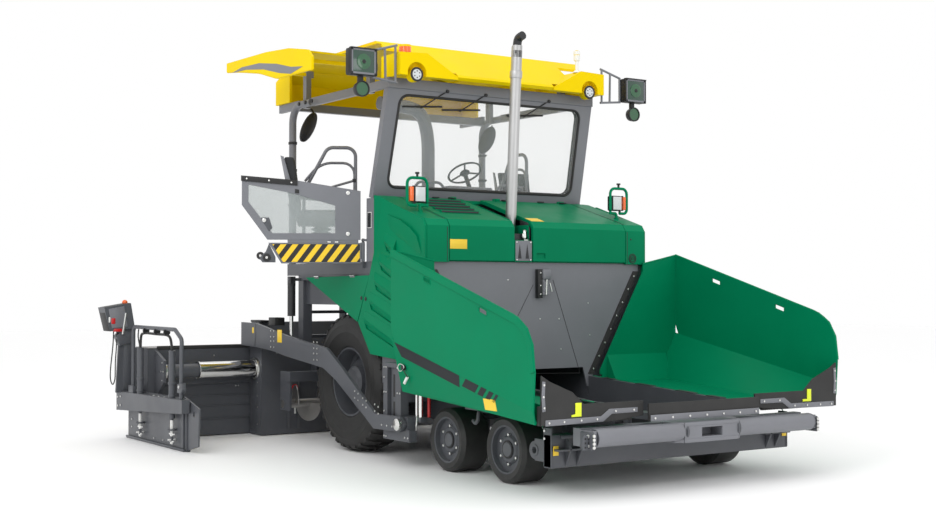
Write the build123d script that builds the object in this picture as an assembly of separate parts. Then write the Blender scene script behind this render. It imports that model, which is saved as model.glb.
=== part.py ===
"""Wheeled asphalt paver with an extending screed, as separate pieces on one frame.

Lengths are millimetres. +X points forward, +Y to the machine's left, +Z up. The ground is z = 0.
Everything is laid out from the rear axle's line (x = 0 below); save() then shifts each piece along X
so that the origin lies on the ground under the middle of the whole machine.
"""

from build123d import *
import math
import os

os.makedirs("parts", exist_ok=True)

# ---- driving dimensions: overall ----
front_reach = 3705  # rear axle to the front of the push rollers
rear_reach = 2540  # rear axle to the back of the screed's side consoles
shift_x = (rear_reach - front_reach) / 2
body_half = 1240  # half width over the steel body, under the side panels
panel_thick = 22
seat_gap = 0.3  # between pieces that rest on each other across bodies
turn_gap = 0.1  # radial clearance of a pin in its bore
slide_gap = 0.4  # radial clearance of a tube in its guide

# ---- wheels ----
rear_tyre_r = 665
rear_rim_r = 330
rear_tyre_width = 375
rear_outer_y = 1220  # outer face of the rear tyre
rear_disc = 200  # from there in to the face of the wheel disc that the hub meets
front_tyre_r = 270
front_rim_r = 195
front_tyre_width = 300
front_outer_y = 1210
front_axles = {"front": 2586, "second": 1733}
kingpin_y = 830
kingpin_r = 30
stub_r = 45

# ---- chassis, tunnel and body ----
frame_y = 575  # inner face of the chassis side plates
frame_thick = 30
frame_bottom = 330
tunnel_top = 840
lane_z = 420  # floor of the conveyor lanes
lane_half = 545
ridge_half = 45
ridge_top = 540
frame_rear = -1150
bumper_x = (3200, 3280)
bumper_z = (200, 450)
bumper_half = 1276
tow_eye_r = 25
tow_eye_outer = 70
wall_x = 1440  # back of the hopper's back wall
wall_thick = 15
deck_z = (1690, 1810)
deck_x = (-1245, 520)
deck_half = body_half - 15
hood_front_x = 1485
hood_bottom = 1790
cheek_in = body_half - 228  # inner face of the hood's fixed cheeks
exhaust_y = -200
exhaust_room = 105  # half width of the gap that the lids leave for the exhaust
lid_y = {"right": (7 - cheek_in, exhaust_y - exhaust_room), "left": (exhaust_y + exhaust_room, cheek_in - 7)}
lid_thick = 30
hinge_y = (-900, -450, 60, 850)  # inner ends of the lids' hinges
hinge_pin_r = 6
lamp_foot_z = 2252
lid_hinge = (632, 2420)
lid_rear = (632, 2412)  # rear top edge of the lids

# ---- hopper ----
wing_hinge_y = 640
wing_hinge_z = 690  # at the wings' rear end
wing_fall = 0.055  # drop of the hinge line and floor per length forward
wing_pin_r = 14
wing_pins = (1650, 2350, 3050)
wing_outer_y = 1632.5
wing_rear_x = 1515
wing_front_x = 3520
wing_plate = 15
wing_skin = 12
wing_rim = 9  # thickness of the folded border round the outer wall
wing_crease = (1571, 1107, 3526, 655)  # rear and front end of the line below which the outer wall leans in
wing_lean = 0.236  # inward lean below that line per height
floor_rise = 10  # top of the wings' floor above the hinge line

# ---- push rollers ----
roller_x = 3635
roller_z = 454
roller_r = 70
roller_pin_r = 20
roller_y = (300, 1150)
push_pivot_x = 3360
push_pin_r = 30
flap_x = 3600  # rear face of the flap between the wings
flap_arm_y = (470, 515)

# ---- tow arms and screed ----
tow_pin = (1316, 378)
tow_pin_r = 35
tow_guide_y = (1290, 1370)
arm_y = (1385, 1415)
auger_x = -1350
auger_z = 360
auger_r = 190
auger_shaft_r = 45
lift_x = -940
lift_y = 1330
lift_pin_z = 1650
lift_eye_z = 920
lift_barrel = 370  # barrel's pin to its mouth
lift_rod = 395  # rod's eye to its piston end
lift_pin_r = 15
screed_x = (-1990, -1700)
screed_half = 1300
sole_z = 10
screed_top = 950
tube_x = -1850
tube_z = 710
outer_tube_r = 90
inner_tube_r = 70
extension_x = (-2400, -2020)
extension_y = (1200, 2440)
extension_top = 940
gate_y = (2460, 2500)
gate_x = (-2387, -812)
gate_top = 500
gate_beam_x = (-2530, -735)
gate_posts = (-1935, -1080)
gate_tube_y = gate_y[1] + 40  # middle of the gate's tubes and beam
console_out = 2780  # outer end of the side console's box
bracket_y = (2330, 2360)
mid_tube_y = (950, 1950)
inner_tube_y = (1650, 2330)

# ---- platform, canopy and seats ----
pod_hinge = (370, body_half + 4)  # upright hinge of each seat pod
pod_pin_r = 12
pod_open = 62  # degrees that the right pod stands swung out
pod_floor_z = 1830
pod_panel = (1120, 1790, 2600)  # length, bottom and top of the pod's side panel
roof_z = 3490
roof_half = deck_half - 35
roof_x = (-1600, 950)
awning_x = (-1260, 590)
awning_out = 680
awning_retracted_y = roof_half + 32  # outer face of an awning pushed home
rear_post_x = -1200
awning_rails = ((-1000, 3730), (300, 3630))  # x and z of each rail's lower rear corner
windscreen_top = 3400
crown_half = 870  # half width of the roof's raised middle at its front
lamp_y = 1010  # the round work lamps under the roof's shoulders
flood_y = (1450, 1720)

SIDES = {"right": -1, "left": 1}


def box(x0, x1, y0, y1, z0, z1):
    """A block between two corners, given in any order."""
    size = (abs(x1 - x0), abs(y1 - y0), abs(z1 - z0))
    return Pos((x0 + x1) / 2, (y0 + y1) / 2, (z0 + z1) / 2) * Box(*size)


def plate(points, axis, low, high):
    """An outline in the plane across axis, given a thickness from low to high along it."""
    place = {"x": lambda u, v: (low, u, v), "y": lambda u, v: (u, low, v), "z": lambda u, v: (u, v, low)}
    step = {"x": (high - low, 0, 0), "y": (0, high - low, 0), "z": (0, 0, high - low)}
    outline = Face(Wire.make_polygon([place[axis](u, v) for u, v in points], close=True))
    return Part() + Solid.extrude(outline, Vector(*step[axis]))


def rod(start, end, radius):
    """A round bar from start to end."""
    line = Vector(*end) - Vector(*start)
    return Part() + Solid.make_cylinder(radius, line.length, Plane(origin=start, z_dir=line))


def pipe(start, end, outer, inner):
    return rod(start, end, outer) - rod(start, end, inner)


def bent(points, radius, bend):
    """A round tube along straight runs that are joined by arcs."""
    path = FilletPolyline(*points, radius=bend)
    return Part() + sweep(Plane(origin=path @ 0, z_dir=path % 0) * Circle(radius), path=path)


def turned(profile, x, y, z):
    """A ring about an axis along Y, from (radius, y) points measured from (x, y, z)."""
    outline = Face(Wire.make_polygon([(r, v, 0) for r, v in profile], close=True))
    return Pos(x, y, z) * (Part() + revolve(outline, Axis.Y))


def flip(shape):
    """The same piece on the other side of the machine."""
    return mirror(shape, about=Plane.XZ)


def pair(shape):
    return shape + flip(shape)


def joined(*shapes):
    total = shapes[0]
    for shape in shapes[1:]:
        total = total + shape
    return total


def save(name, shape):
    export_step(Pos(shift_x, 0, 0) * shape, f"parts/{name}.step")


def both(name, shape):
    """Saves a left piece and its mirror image on the right."""
    save(f"{name}_left", shape)
    save(f"{name}_right", flip(shape))


# ================= tractor =================
def chassis():
    """Side plates, tunnel, final drives, ears of the steered axles and the wings' hinge lines."""
    outer = frame_y + frame_thick
    side = [(frame_rear, frame_bottom), (bumper_x[0], frame_bottom), (bumper_x[0], 560), (wall_x, 560)]
    side = plate(side + [(wall_x, tunnel_top), (frame_rear, tunnel_top)], "y", frame_y, outer)
    frame = pair(side)
    frame += box(frame_rear, bumper_x[0], -frame_y, frame_y, frame_bottom, frame_bottom + 20)
    frame += box(frame_rear, wall_x, -frame_y, frame_y, tunnel_top - 20, tunnel_top)
    # final drive housings of the rear wheels
    hub_face = rear_outer_y - rear_disc - seat_gap
    drive = rod((0, outer, rear_tyre_r), (0, 900, rear_tyre_r), 210)
    frame += pair(drive + rod((0, 880, rear_tyre_r), (0, hub_face, rear_tyre_r), 170))
    # carriers with two ears round each kingpin
    for x in front_axles.values():
        ears = box(x - 55, x + 55, frame_y, outer + 60, 110, frame_bottom + 20)
        ears += box(x - 55, x + 55, outer, outer + 60, frame_bottom, 470)
        for z in (110, 430):
            ears += box(x - 55, x + 55, outer, kingpin_y, z, z + 40)
            ears += rod((x, kingpin_y, z), (x, kingpin_y, z + 40), 55)
        frame += pair(ears - rod((x, kingpin_y, 100), (x, kingpin_y, 480), kingpin_r + turn_gap))
    save("chassis", frame + pair(wing_hinges(outer)))


def bumper():
    """Cross beam under the hopper, with the tow eyes, the pin of the push bar and the arms of the front flap."""
    beam = box(*bumper_x, -bumper_half, bumper_half, *bumper_z)
    x = bumper_x[0] - 200
    eye_plate = box(x, bumper_x[0], 1180, 1215, 230, 400) + rod((x, 1180, 310), (x, 1215, 310), tow_eye_outer)
    beam += pair(eye_plate - rod((x, 1180, 310), (x, 1215, 310), tow_eye_r))
    arm = box(bumper_x[1] - 50, bumper_x[1], *flap_arm_y, bumper_z[1] - 10, 600)
    arm += box(bumper_x[1] - 50, flap_x, *flap_arm_y, 545, 600)
    beam += pair(arm)
    beam += box(bumper_x[1] - 5, push_pivot_x + 50, -90, 90, 365, 400 - seat_gap)
    save("bumper", beam + rod((push_pivot_x, 0, 370), (push_pivot_x, 0, 530), push_pin_r))


def tow_guides():
    """Upright guides outside the rear wheels' line, which hold the tow pins, with their cross beams."""
    y0, y1 = tow_guide_y
    outer = frame_y + frame_thick
    guide = box(960, 1400, y0, y1, 225, 300) + box(960, 1030, y0, y1, 300, 900)
    guide += box(1190, 1260, y0, y1, 300, 900) + box(960, 1260, y0, y1, 860, 900)
    guide += box(900, 1260, outer, y0, 560, 690) + box(1000, 1220, y0 - 50, y0, 560, 900)
    guide += box(1260, 1400, y0, y1, 300, 330) + box(1260, 1372, y0, y1, 300, 440)
    x, z = tow_pin
    save("tow_guides", pair(guide + rod((x, y0, z), (x, arm_y[1] + 25, z), tow_pin_r)))


def auger_hanger():
    """Chain case between the augers, cross beam and the plates that hold the augers' outer ends."""
    hanger = box(auger_x - 70, frame_rear, -70, 70, 230, 700)
    hanger += box(auger_x + 90, frame_rear, -1240, 1240, 600, 700)
    hanger += pair(box(auger_x - 50, auger_x + 160, 1200, 1225, 300, 700))
    for side in SIDES.values():
        hanger -= rod((auger_x, side * 40, auger_z), (auger_x, side * 1300, auger_z), auger_shaft_r + turn_gap)
    save("auger_hanger", hanger)


def hinge_z(x):
    """Height of the wings' hinge line, which falls towards the front."""
    return wing_hinge_z - wing_fall * (x - wing_rear_x)


def along_hinge(x0, x1, radius):
    """A round bar on the left wing's hinge line."""
    return rod((x0, wing_hinge_y, hinge_z(x0)), (x1, wing_hinge_y, hinge_z(x1)), radius)


def wing_hinges(outer):
    """Left side of the hopper's bottom: raised wall, cover strip, and the lugs and pins of the wing's hinge."""
    x0, x1 = wall_x + wall_thick + seat_gap, bumper_x[0]
    cover = [(x0, hinge_z(x0) + 34), (x1, hinge_z(x1) + 34), (x1, hinge_z(x1) + 42), (x0, hinge_z(x0) + 42)]
    shape = plate([(x0, 550), (x1, 550), *cover[2:]], "y", frame_y, outer)
    shape += plate(cover, "y", frame_y, wing_hinge_y)
    for x in wing_pins:
        lug = box(x - 20, x + 20, outer - 5, wing_hinge_y + 20, 500, hinge_z(x) + 20)
        shape += lug + along_hinge(x - 20, x + 90, wing_pin_r)
    return shape


def conveyor():
    """Two slat conveyors on their chain rails, with the ridge between them; the chassis plates are their walls."""
    front = bumper_x[0] - 20
    bed = box(frame_rear, front, 3 - frame_y, frame_y - 3, frame_bottom + 20.5, lane_z)
    bed += box(frame_rear, front, -ridge_half, ridge_half, lane_z - 1, ridge_top)
    for y in (ridge_half + 55, lane_half - 55):
        bed += pair(box(frame_rear + 20, front - 20, y - 20, y + 20, lane_z - 5, lane_z + 12))
    slats = []
    for x in range(frame_rear + 50, front - 30, 250):
        slats.append(pair(box(x, x + 40, ridge_half + 15, lane_half - 15, lane_z + 1, lane_z + 25)))
    save("conveyor", joined(bed, *slats))


def rear_body():
    """Steel body over the rear wheels, with the tanks beside the engine bay."""
    body = box(-900, deck_x[1], 60 - body_half, body_half - 60, 1400, deck_z[0])
    body += box(-1100, deck_x[1], -frame_y + 5, frame_y - 5, tunnel_top, 1400)
    body += pair(box(-900, deck_x[1], body_half - 70, body_half, 1640, deck_z[0]))
    body += pair(box(720, wall_x, 640, body_half, 700, hood_bottom - 10))
    body += box(deck_x[1], wall_x, -640, 640, tunnel_top, 860)
    # rear columns beside the wheels
    body += pair(box(-1000, -895, body_half - 120, body_half - 20, 1000, deck_z[0]))
    body += pair(rod((lift_x, body_half - 25, lift_pin_z), (lift_x, lift_y + 32, lift_pin_z), lift_pin_r))
    save("rear_body", body)


def engine():
    """Engine, radiator and pumps as one block in the engine bay."""
    save("engine", box(640, 1380, -560, 560, 861, 1900))


def deck():
    """Operator's platform with the rear ladder and kick plates."""
    floor = box(*deck_x, -deck_half, deck_half, *deck_z)
    steps = []
    for side in (-1, 1):
        for z in (1050, 1300, 1550):
            steps.append(box(-1240, -1110, side * 620, side * 1080, z, z + 30))
        steps.append(box(-1240, -1110, side * 600, side * 620, 860, deck_z[0]))
        steps.append(box(-1240, -1110, side * 1080, side * 1100, 1000, deck_z[0]))
    # pins that the seat pods swing on
    x, y = pod_hinge
    pin = box(x - 30, x + 12, deck_half - 5, y + 12, deck_z[1] - 60, deck_z[1] - 26)
    pin += rod((x, y, deck_z[1] - 40), (x, y, 2025), pod_pin_r)
    save("deck", joined(floor, *steps, pair(pin)))


def hood():
    """Fixed cheeks of the hood, the rear strip under the windscreen, and the recess behind the lids' gap."""
    top = [(562, hood_bottom), (hood_front_x, hood_bottom), (hood_front_x, 2110), (1440, 2170), (640, 2410), (562, 2420)]
    cheek = plate(top, "y", cheek_in, body_half)
    inner = [(600, hood_bottom - 1), (hood_front_x - 25, hood_bottom - 1), (hood_front_x - 25, 2100), (1425, 2145), (600, 2390)]
    cheek -= plate(inner, "y", cheek_in + 25, body_half - 20)
    shell = pair(cheek)
    shell += box(562, lid_rear[0] - 6, -cheek_in - 1, cheek_in + 1, 2370, 2402)
    for y in hinge_y:
        knuckle = box(612, lid_hinge[0] + 8, y, y + 15, 2395, lid_hinge[1] + 10)
        shell += knuckle - box(lid_rear[0] - 6, lid_hinge[0] + 9, y - 1, y + 16, 2390, lid_rear[1] + 1)
        shell += rod((lid_hinge[0], y, lid_hinge[1]), (lid_hinge[0], y + 75, lid_hinge[1]), hinge_pin_r)
    shell += pair(box(1180, 1220, cheek_in + 108, cheek_in + 140, 2190, lamp_foot_z))
    shell += box(1380, hood_front_x - 40, -cheek_in, cheek_in, hood_bottom, hood_bottom + 25)
    # channel that the exhaust stands in, with the bracket of two narrow triangles at its front
    right, left = exhaust_y - exhaust_room + 9, exhaust_y + exhaust_room - 9
    channel = box(700, 1440, right, left, 1910, 1940) + box(700, 1440, right, right + 10, 1940, 2140)
    channel += box(700, 1440, left - 10, left, 1940, 2140) + box(1410, 1440, right, left, hood_bottom + 25, 2000)
    bracket = plate([(right, 1800), (left, 1800), (left, 1990), (right, 1990)], "x", 1439, hood_front_x - 5)
    for y in (exhaust_y - 42, exhaust_y + 42):
        bracket -= plate([(y - 27, 1830), (y + 27, 1830), (y, 1965)], "x", 1455, hood_front_x)
    save("hood", shell + channel + bracket)


def hood_lids():
    """Two lids that carry the louvred top and the front face of the hood."""
    outside = [lid_rear, (1440, 2172), (hood_front_x, 2112), (hood_front_x, 1806)]
    inside = [(hood_front_x - lid_thick, 1806), (hood_front_x - lid_thick, 2100), (1425, 2141)]
    inside.append((lid_rear[0], lid_rear[1] - lid_thick - 1))
    for name, (y0, y1) in lid_y.items():
        lid = plate(outside + inside, "y", y0, y1)
        slots = range(5) if name == "right" else range(0)
        for k in slots:
            x = 760 + k * 110
            lid -= box(x, x + 35, y0 + 120, y1 - 90 - 25 * k, 2000, 2500)
        if name == "left":
            lid -= box(hood_front_x - 12, hood_front_x + 1, y0 + 40, y0 + 140, 1835, 1880)
        for y in hinge_y:
            if y0 < y < y1:
                start, end = ((lid_hinge[0], y + d, lid_hinge[1]) for d in (20, 70))
                lid -= box(lid_rear[0] - 1, lid_rear[0] + 22, y - 3, y + 18, lid_rear[1] - 50, lid_rear[1] + 5)
                lid += rod(start, end, 13)
                lid -= rod(start, end, hinge_pin_r + turn_gap)
        save(f"hood_lid_{name}", lid)


def side_panels():
    """Green side panels with a ladder of slanted pockets, and the fenders behind them."""
    outline = [(752, 2382), (698, 2138), (524, 1692), (305, 1244), (537, 954), (1025, 920), (1440, 920)]
    outline += [(hood_front_x - 5, hood_bottom), (hood_front_x - 5, 2105), (1437, 2168)]
    face = body_half + panel_thick
    panel = plate(outline, "y", body_half + seat_gap, face)
    for k in range(5):
        left, low, right = 414 + 92 * k, 1276 + 179 * k, 1098 + 201 * k
        pocket = [(left, low), (left + 45, low - 90), (1000, right - 85), (1000, right)]
        panel -= plate(pocket, "y", face - 14, face + 1)
    fender = plate([(-760, 1668), (516, 1680), (292, 1246)], "y", body_half + seat_gap, face)
    save("side_panels", joined(pair(panel), pair(fender)))


def back_wall():
    """Slanted-edged wall between the hopper and the engine bay, with its latch."""
    half = [(1190, 1790), (1190, 1725), (632, 755), (605, 640), (560, 640), (510, tunnel_top - 20)]
    outline = half + [(-y, z) for y, z in reversed(half)]
    wall = plate(outline, "x", wall_x + seat_gap, wall_x + wall_thick)
    wall += box(wall_x + 10, wall_x + 60, -20, 80, 1500, 1680) + box(wall_x + 50, wall_x + 65, 10, 60, 1530, 1620)
    save("back_wall", wall)


def rubber_aprons():
    """Rubber seals on the back wall's slanted edges and the front flap between the wings."""
    x0 = wall_x + wall_thick
    seal = plate([(1125, 1725), (1190, 1725), (632, 755), (567, 755)], "x", x0, x0 + 12)
    x1 = flap_x + seat_gap
    flap = box(x1, x1 + 15, -590, 590, 548, 680) + box(x1 + 15, x1 + 23, -580, 580, 545, 590)
    save("rubber_aprons", joined(pair(seal), flap))


def crease_z(x):
    """Height of the line below which the wings' outer wall leans in."""
    x0, z0, x1, z1 = wing_crease
    return z0 + (x - x0) * (z1 - z0) / (x1 - x0)


def leaning(points, y, thick):
    """A plate on the leaning part of the outer wall, from its (x, z) corners; y is its face at the crease."""
    corners = [(x, y - wing_lean * (crease_z(x) - z), z) for x, z in points]
    return Part() + Solid.extrude(Face(Wire.make_polygon(corners, close=True)), Vector(0, thick, 0))


def wings():
    """The two folding hopper wings: hinge knuckles, floor, slanted corners, rear wall and rimmed outer wall."""
    wall_out = wing_outer_y - wing_rim
    wall_in = wall_out - wing_skin
    edge = wall_in + 1
    crease = [wing_crease[2:], wing_crease[:2]]
    top = [(wing_rear_x, 1890), (3330, 1350), (3450, 1270), (wing_front_x, 1150), (wing_front_x + 25, 950)]
    # floor, with slanted plates where it meets the outer wall and the rear wall
    line = [(x, hinge_z(x) + floor_rise) for x in (wing_rear_x, wing_front_x)]
    wing = plate(line + [(x, z - 20) for x, z in reversed(line)], "y", wing_hinge_y + 32, edge)
    corners = []
    for x, y, z in ((wing_rear_x, 1380, 1130), (wing_front_x - 60, 1200, 740)):
        base = hinge_z(x) + floor_rise - 1
        corners.append(Wire.make_polygon([(x, y, base), (x, edge, base), (x, edge, z)], close=True))
    wing += Part() + Solid.make_loft(corners, True)
    near, far = wing_rear_x + wing_plate - 1, wing_rear_x + 150
    base = hinge_z(wing_rear_x) + floor_rise
    wing += plate([(near, 935), (near, base - 5), (far, hinge_z(far) + floor_rise - 1)], "y", 740, 1480)
    rear = [(edge, 1890), (edge, base - 20), (682, base - 20), (682, 750), (660, 750), (660, 790), (1195, 1725), (1195, 1800)]
    wing += plate(rear, "x", wing_rear_x, wing_rear_x + wing_plate)
    # what lies outside the leaning part goes
    x0, x1 = wing_rear_x - 100, wing_front_x + 100
    wing -= leaning([(x0, crease_z(x0)), (x1, crease_z(x1)), (x1, 300), (x0, 300)], edge, 400)
    wing += plate([(wing_rear_x, 1240), *top, *crease], "y", wall_in, wall_out)
    low = [(wing_front_x, hinge_z(wing_front_x) - 15), (1746, 690)]
    wing += leaning(crease[::-1] + low, wall_in, wing_skin)
    border = [(wing_front_x - 20, 940), (wing_front_x - 50, 1120), (3415, 1228), (3310, 1296), (wing_rear_x, 1830)]
    wing += plate(top + border, "y", wall_out - 1, wing_outer_y)
    for x in wing_pins:
        knuckle = along_hinge(x + 25, x + 85, 28)
        z = hinge_z(x + 55)
        knuckle += box(x + 25, x + 85, wing_hinge_y, wing_hinge_y + 40, z - 14, z + floor_rise - 2)
        wing += knuckle - along_hinge(x, x + 110, wing_pin_r + turn_gap)
    for x, z in ((2030, 1660), (2830, 1420)):
        slot = plate([(x, z), (x + 110, z - 33), (x + 110, z - 75), (x, z - 42)], "y", 1500, 1700)
        wing -= slot
    both("wing", wing)


def wing_aprons():
    """Rubber aprons across the front of each wing."""
    outline = [(1575, 925), (1500, 880), (1290, 795), (1180, 702), (600, 702), (600, 590), (900, 560), (1575, 560)]
    apron = plate(outline, "x", wing_front_x + 28, wing_front_x + 42)
    apron += plate([(1585, 700), (1585, 560), (700, 560), (700, 690)], "x", wing_front_x + seat_gap, wing_front_x + 28)
    both("wing_apron", apron)


def push_bar():
    """Beam that rocks about a middle pin and carries the push rollers."""
    bar = box(3440, 3520, -1186, 1186, 385, 520)
    bar += box(3300, 3440, -120, 120, 400, 430) + box(3300, 3440, -120, 120, 470, 500)
    bar += box(3520, 3690, -290, 290, 370, 525) - box(3560, 3700, -110, 110, 410, 480)
    bar += pair(box(3520, 3680, 1156, 1186, 400, 510))
    for side in SIDES.values():
        bar -= rod((roller_x, side * 250, roller_z), (roller_x, side * 1200, roller_z), roller_pin_r + turn_gap)
    bar -= rod((push_pivot_x, 0, 380), (push_pivot_x, 0, 540), push_pin_r + turn_gap)
    save("push_bar", bar)
    y0, y1 = roller_y
    roll = rod((roller_x, y0, roller_z), (roller_x, y1, roller_z), roller_r)
    both("push_roller", roll + rod((roller_x, 255, roller_z), (roller_x, 1180, roller_z), roller_pin_r))


# ================= platform =================
def dashboard():
    """Wall under the windscreen with the operator's console behind it."""
    wall = box(400, 560, -deck_half, deck_half, deck_z[1], 2400)
    desk = plate([(400, 1811), (250, 1811), (150, 2280), (150, 2330), (400, 2400)], "y", -330, 330)
    x, y = pod_hinge
    lug = box(x - 12, 405, deck_half - 20, y + 12, 2000, 2020)
    lug -= rod((x, y, 1990), (x, y, 2030), pod_pin_r + turn_gap)
    save("dashboard", joined(wall, desk, pair(lug)))


def windscreen():
    """Leaning frame with its posts, and the pane inside it."""
    lean = math.degrees(math.atan2(705 - 503, 3380 - 2515))
    half, bottom, top = deck_half, 2402, 3500
    glass_half, glass_low, glass_high = deck_half - 140, 2515, 3380
    frame = plate([(-half, bottom), (half, bottom), (half - 30, top), (30 - half, top)], "x", -35, 35)
    hole = plate([(-glass_half, glass_low), (glass_half, glass_low), (glass_half - 28, glass_high), (28 - glass_half, glass_high)],
                 "x", -60, 60)
    hole = fillet(hole.edges().filter_by(Axis.X), 60)
    pane = plate([(-glass_half, glass_low), (glass_half, glass_low), (glass_half - 28, glass_high), (28 - glass_half, glass_high)],
                 "x", -4, 4)
    pane = fillet(pane.edges().filter_by(Axis.X), 60)

    def placed(shape):
        return Pos(477, 0, bottom) * Rot(0, lean, 0) * Pos(0, 0, -bottom) * shape

    frame = placed(frame - hole) & box(0, 1200, -half, half, 2400 + seat_gap, windscreen_top - seat_gap)
    save("windscreen_frame", frame)
    save("windscreen", placed(pane))


def canopy():
    """Roof shell with its sloping front between two shoulders, and its steel frame with the rear posts."""
    low, front = roof_z + 5, roof_x[1]
    skin = [(roof_x[0], low), (roof_x[0], 3740), (-1330, 3855), (500, 3865), (front - 20, 3545), (front, 3520), (front - 30, low)]
    shell = plate(skin, "y", -roof_half, roof_half)
    hollow = [(roof_x[0] + 20, low - 9), (roof_x[0] + 20, 3728), (-1326, 3837), (492, 3847), (front - 40, 3532)]
    hollow.append((front - 52, low - 9))
    shell -= plate(hollow, "y", 30 - roof_half, roof_half - 30)
    # shoulders beside the sloping middle, each with the recess of a round lamp
    shoulder = plate([(roof_half, low), (roof_half, 3700), (crown_half + 30, 3710), (560, 3520), (560, low)], "x", 610, front)
    shoulder -= plate([(560, low - 1), (roof_half - 25, low - 1), (roof_half - 25, 3680), (crown_half + 30, 3690), (600, 3510)],
                      "x", 600, front - 90)
    shoulder -= rod((front - 70, lamp_y, low + 25), (front + 1, lamp_y, low + 25), 100)
    shoulder += rod((front - 90, lamp_y, low + 15), (front - 12, lamp_y, low + 15), 66)
    cut = box(605, front + 1, crown_half, roof_half + 1, 3600, 3900) + box(605, front + 1, 560, roof_half + 1, low - 1, 3560)
    shell = shell - pair(cut) + pair(shoulder)
    shell -= pair(box(awning_x[0] - 15, awning_x[1] + 15, roof_half - 40, roof_half + 10, low - 9, 3836))
    # warning lamp on the right shoulder and aerial on the left one
    shell += rod((850, -1080, 3690), (850, -1080, 3785), 55)
    shell += rod((880, 900, 3690), (880, 900, 3925), 16) + rod((880, 900, 3830), (880, 900, 3915), 30)
    save("canopy", shell)

    post_y = roof_half
    post = bent([(rear_post_x, post_y, deck_z[1]), (rear_post_x, post_y, 3440), (rear_post_x + 420, post_y, 3440)], 38, 180)
    frame = pair(post)
    top = roof_z + 5 - seat_gap
    frame += pair(box(rear_post_x + 400, 640, roof_half - 30, roof_half + 10, 3400, 3480))
    frame += box(-1170, -1110, 25 - roof_half, roof_half - 25, 3390, 3470)
    frame += pair(box(-1570, -1110, roof_half - 60, roof_half - 25, 3410, top))
    frame += box(640, 760, -roof_half - 10, roof_half + 10, windscreen_top, top)
    for x, z in awning_rails:
        guide = box(x - 15, x + 55, roof_half - 110, roof_half - 30, z - 15, z + 50)
        guide += box(x - 15, x + 55, roof_half - 80, roof_half - 25, 3400, z)
        guide -= box(x - slide_gap, x + 40 + slide_gap, roof_half - 111, roof_half - 24, z - slide_gap, z + 35 + slide_gap)
        frame += pair(guide)
    save("canopy_frame", frame)


def awnings():
    """Curved side roofs that slide out on rails."""
    outline = [(awning_x[0], 3742), (awning_x[0], 3830), (-355, 3814), (134, 3780), (502, 3715), (awning_x[1], 3640)]
    outline += [(awning_x[1], 3525), (459, 3528), (-114, 3532), (-507, 3636), (-1015, 3715)]
    for name, side in SIDES.items():
        outer = awning_retracted_y + (awning_out if name == "right" else 0)
        face = plate(outline, "y", outer - 25, outer)
        top = plate([(awning_x[0], 3800), (awning_x[0], 3822), (-355, 3806), (134, 3772), (502, 3707), (492, 3690), (134, 3752), (-355, 3786)],
                    "y", outer - 640, outer - 24)
        rails = [box(x, x + 40, outer - 830, outer - 24, z, z + 35) for x, z in awning_rails]
        shape = joined(face, top, *rails)
        save(f"awning_{name}", shape if side > 0 else flip(shape))


def exhaust():
    """Stainless stack, tapered at its foot and cut slanting at its top."""
    foot = Vector(1270, exhaust_y, 2000)
    head = Vector(1380, exhaust_y, 3790)
    line = (head - foot).normalized()
    stack = rod(tuple(foot + line * 240), tuple(head), 50)
    cone = Solid.make_cone(30, 50, 240, Plane(origin=foot, z_dir=line))
    stack = stack + (Part() + cone)
    cutter = Pos(head.X, head.Y, head.Z) * Rot(0, -40, 0) * box(-300, 300, -100, 100, 0, 200)
    stack -= cutter
    stack -= rod(tuple(foot + line * 300), tuple(head + line * 10), 46)
    stack += box(1240, 1300, exhaust_y - 30, exhaust_y + 30, 1940.5, 2010)
    save("exhaust", stack)


def lamps():
    """Headlamps in tube guards on the hood, and floodlamps on open brackets beside the roof."""
    y, z = cheek_in + 124, lamp_foot_z
    inner, outer, low, high = y - 76, y + 134, z + 44, z + 288
    guard = bent([(1200, y, z + seat_gap), (1200, y, low), (1200, inner, low), (1200, inner, high), (1200, outer, high),
                  (1200, outer, low), (1200, y + 40, low)], 14, 30)
    head = box(1150, 1215, inner + 15, outer - 15, z + 70, z + 218) + box(1185, 1205, y + 36, y + 66, low - 10, z + 75)
    # floodlamp with a round lamp under it
    y0, y1 = flood_y
    flood = box(880, 990, y0, y1, 3445, 3690) - box(940, 991, y0 + 12, y1 - 12, 3457, 3678)
    flood += box(905, 925, 1570, 1600, 3390, 3450) + rod((860, 1585, 3330), (950, 1585, 3330), 68)
    edge = roof_half + seat_gap
    bracket = plate([(edge, 3770), (y0 + 10, 3690), (y0 + 10, 3445), (edge, 3420)], "x", 885, 900)
    bracket -= plate([(edge + 28, 3732), (1315, 3707), (1305, 3460), (edge + 28, 3452)], "x", 880, 905)
    bracket -= plate([(1335, 3701), (y0 - 18, 3669), (y0 - 18, 3470), (1325, 3462)], "x", 880, 905)
    save("lamps", joined(pair(guard + head), pair(flood + bracket)))


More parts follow.
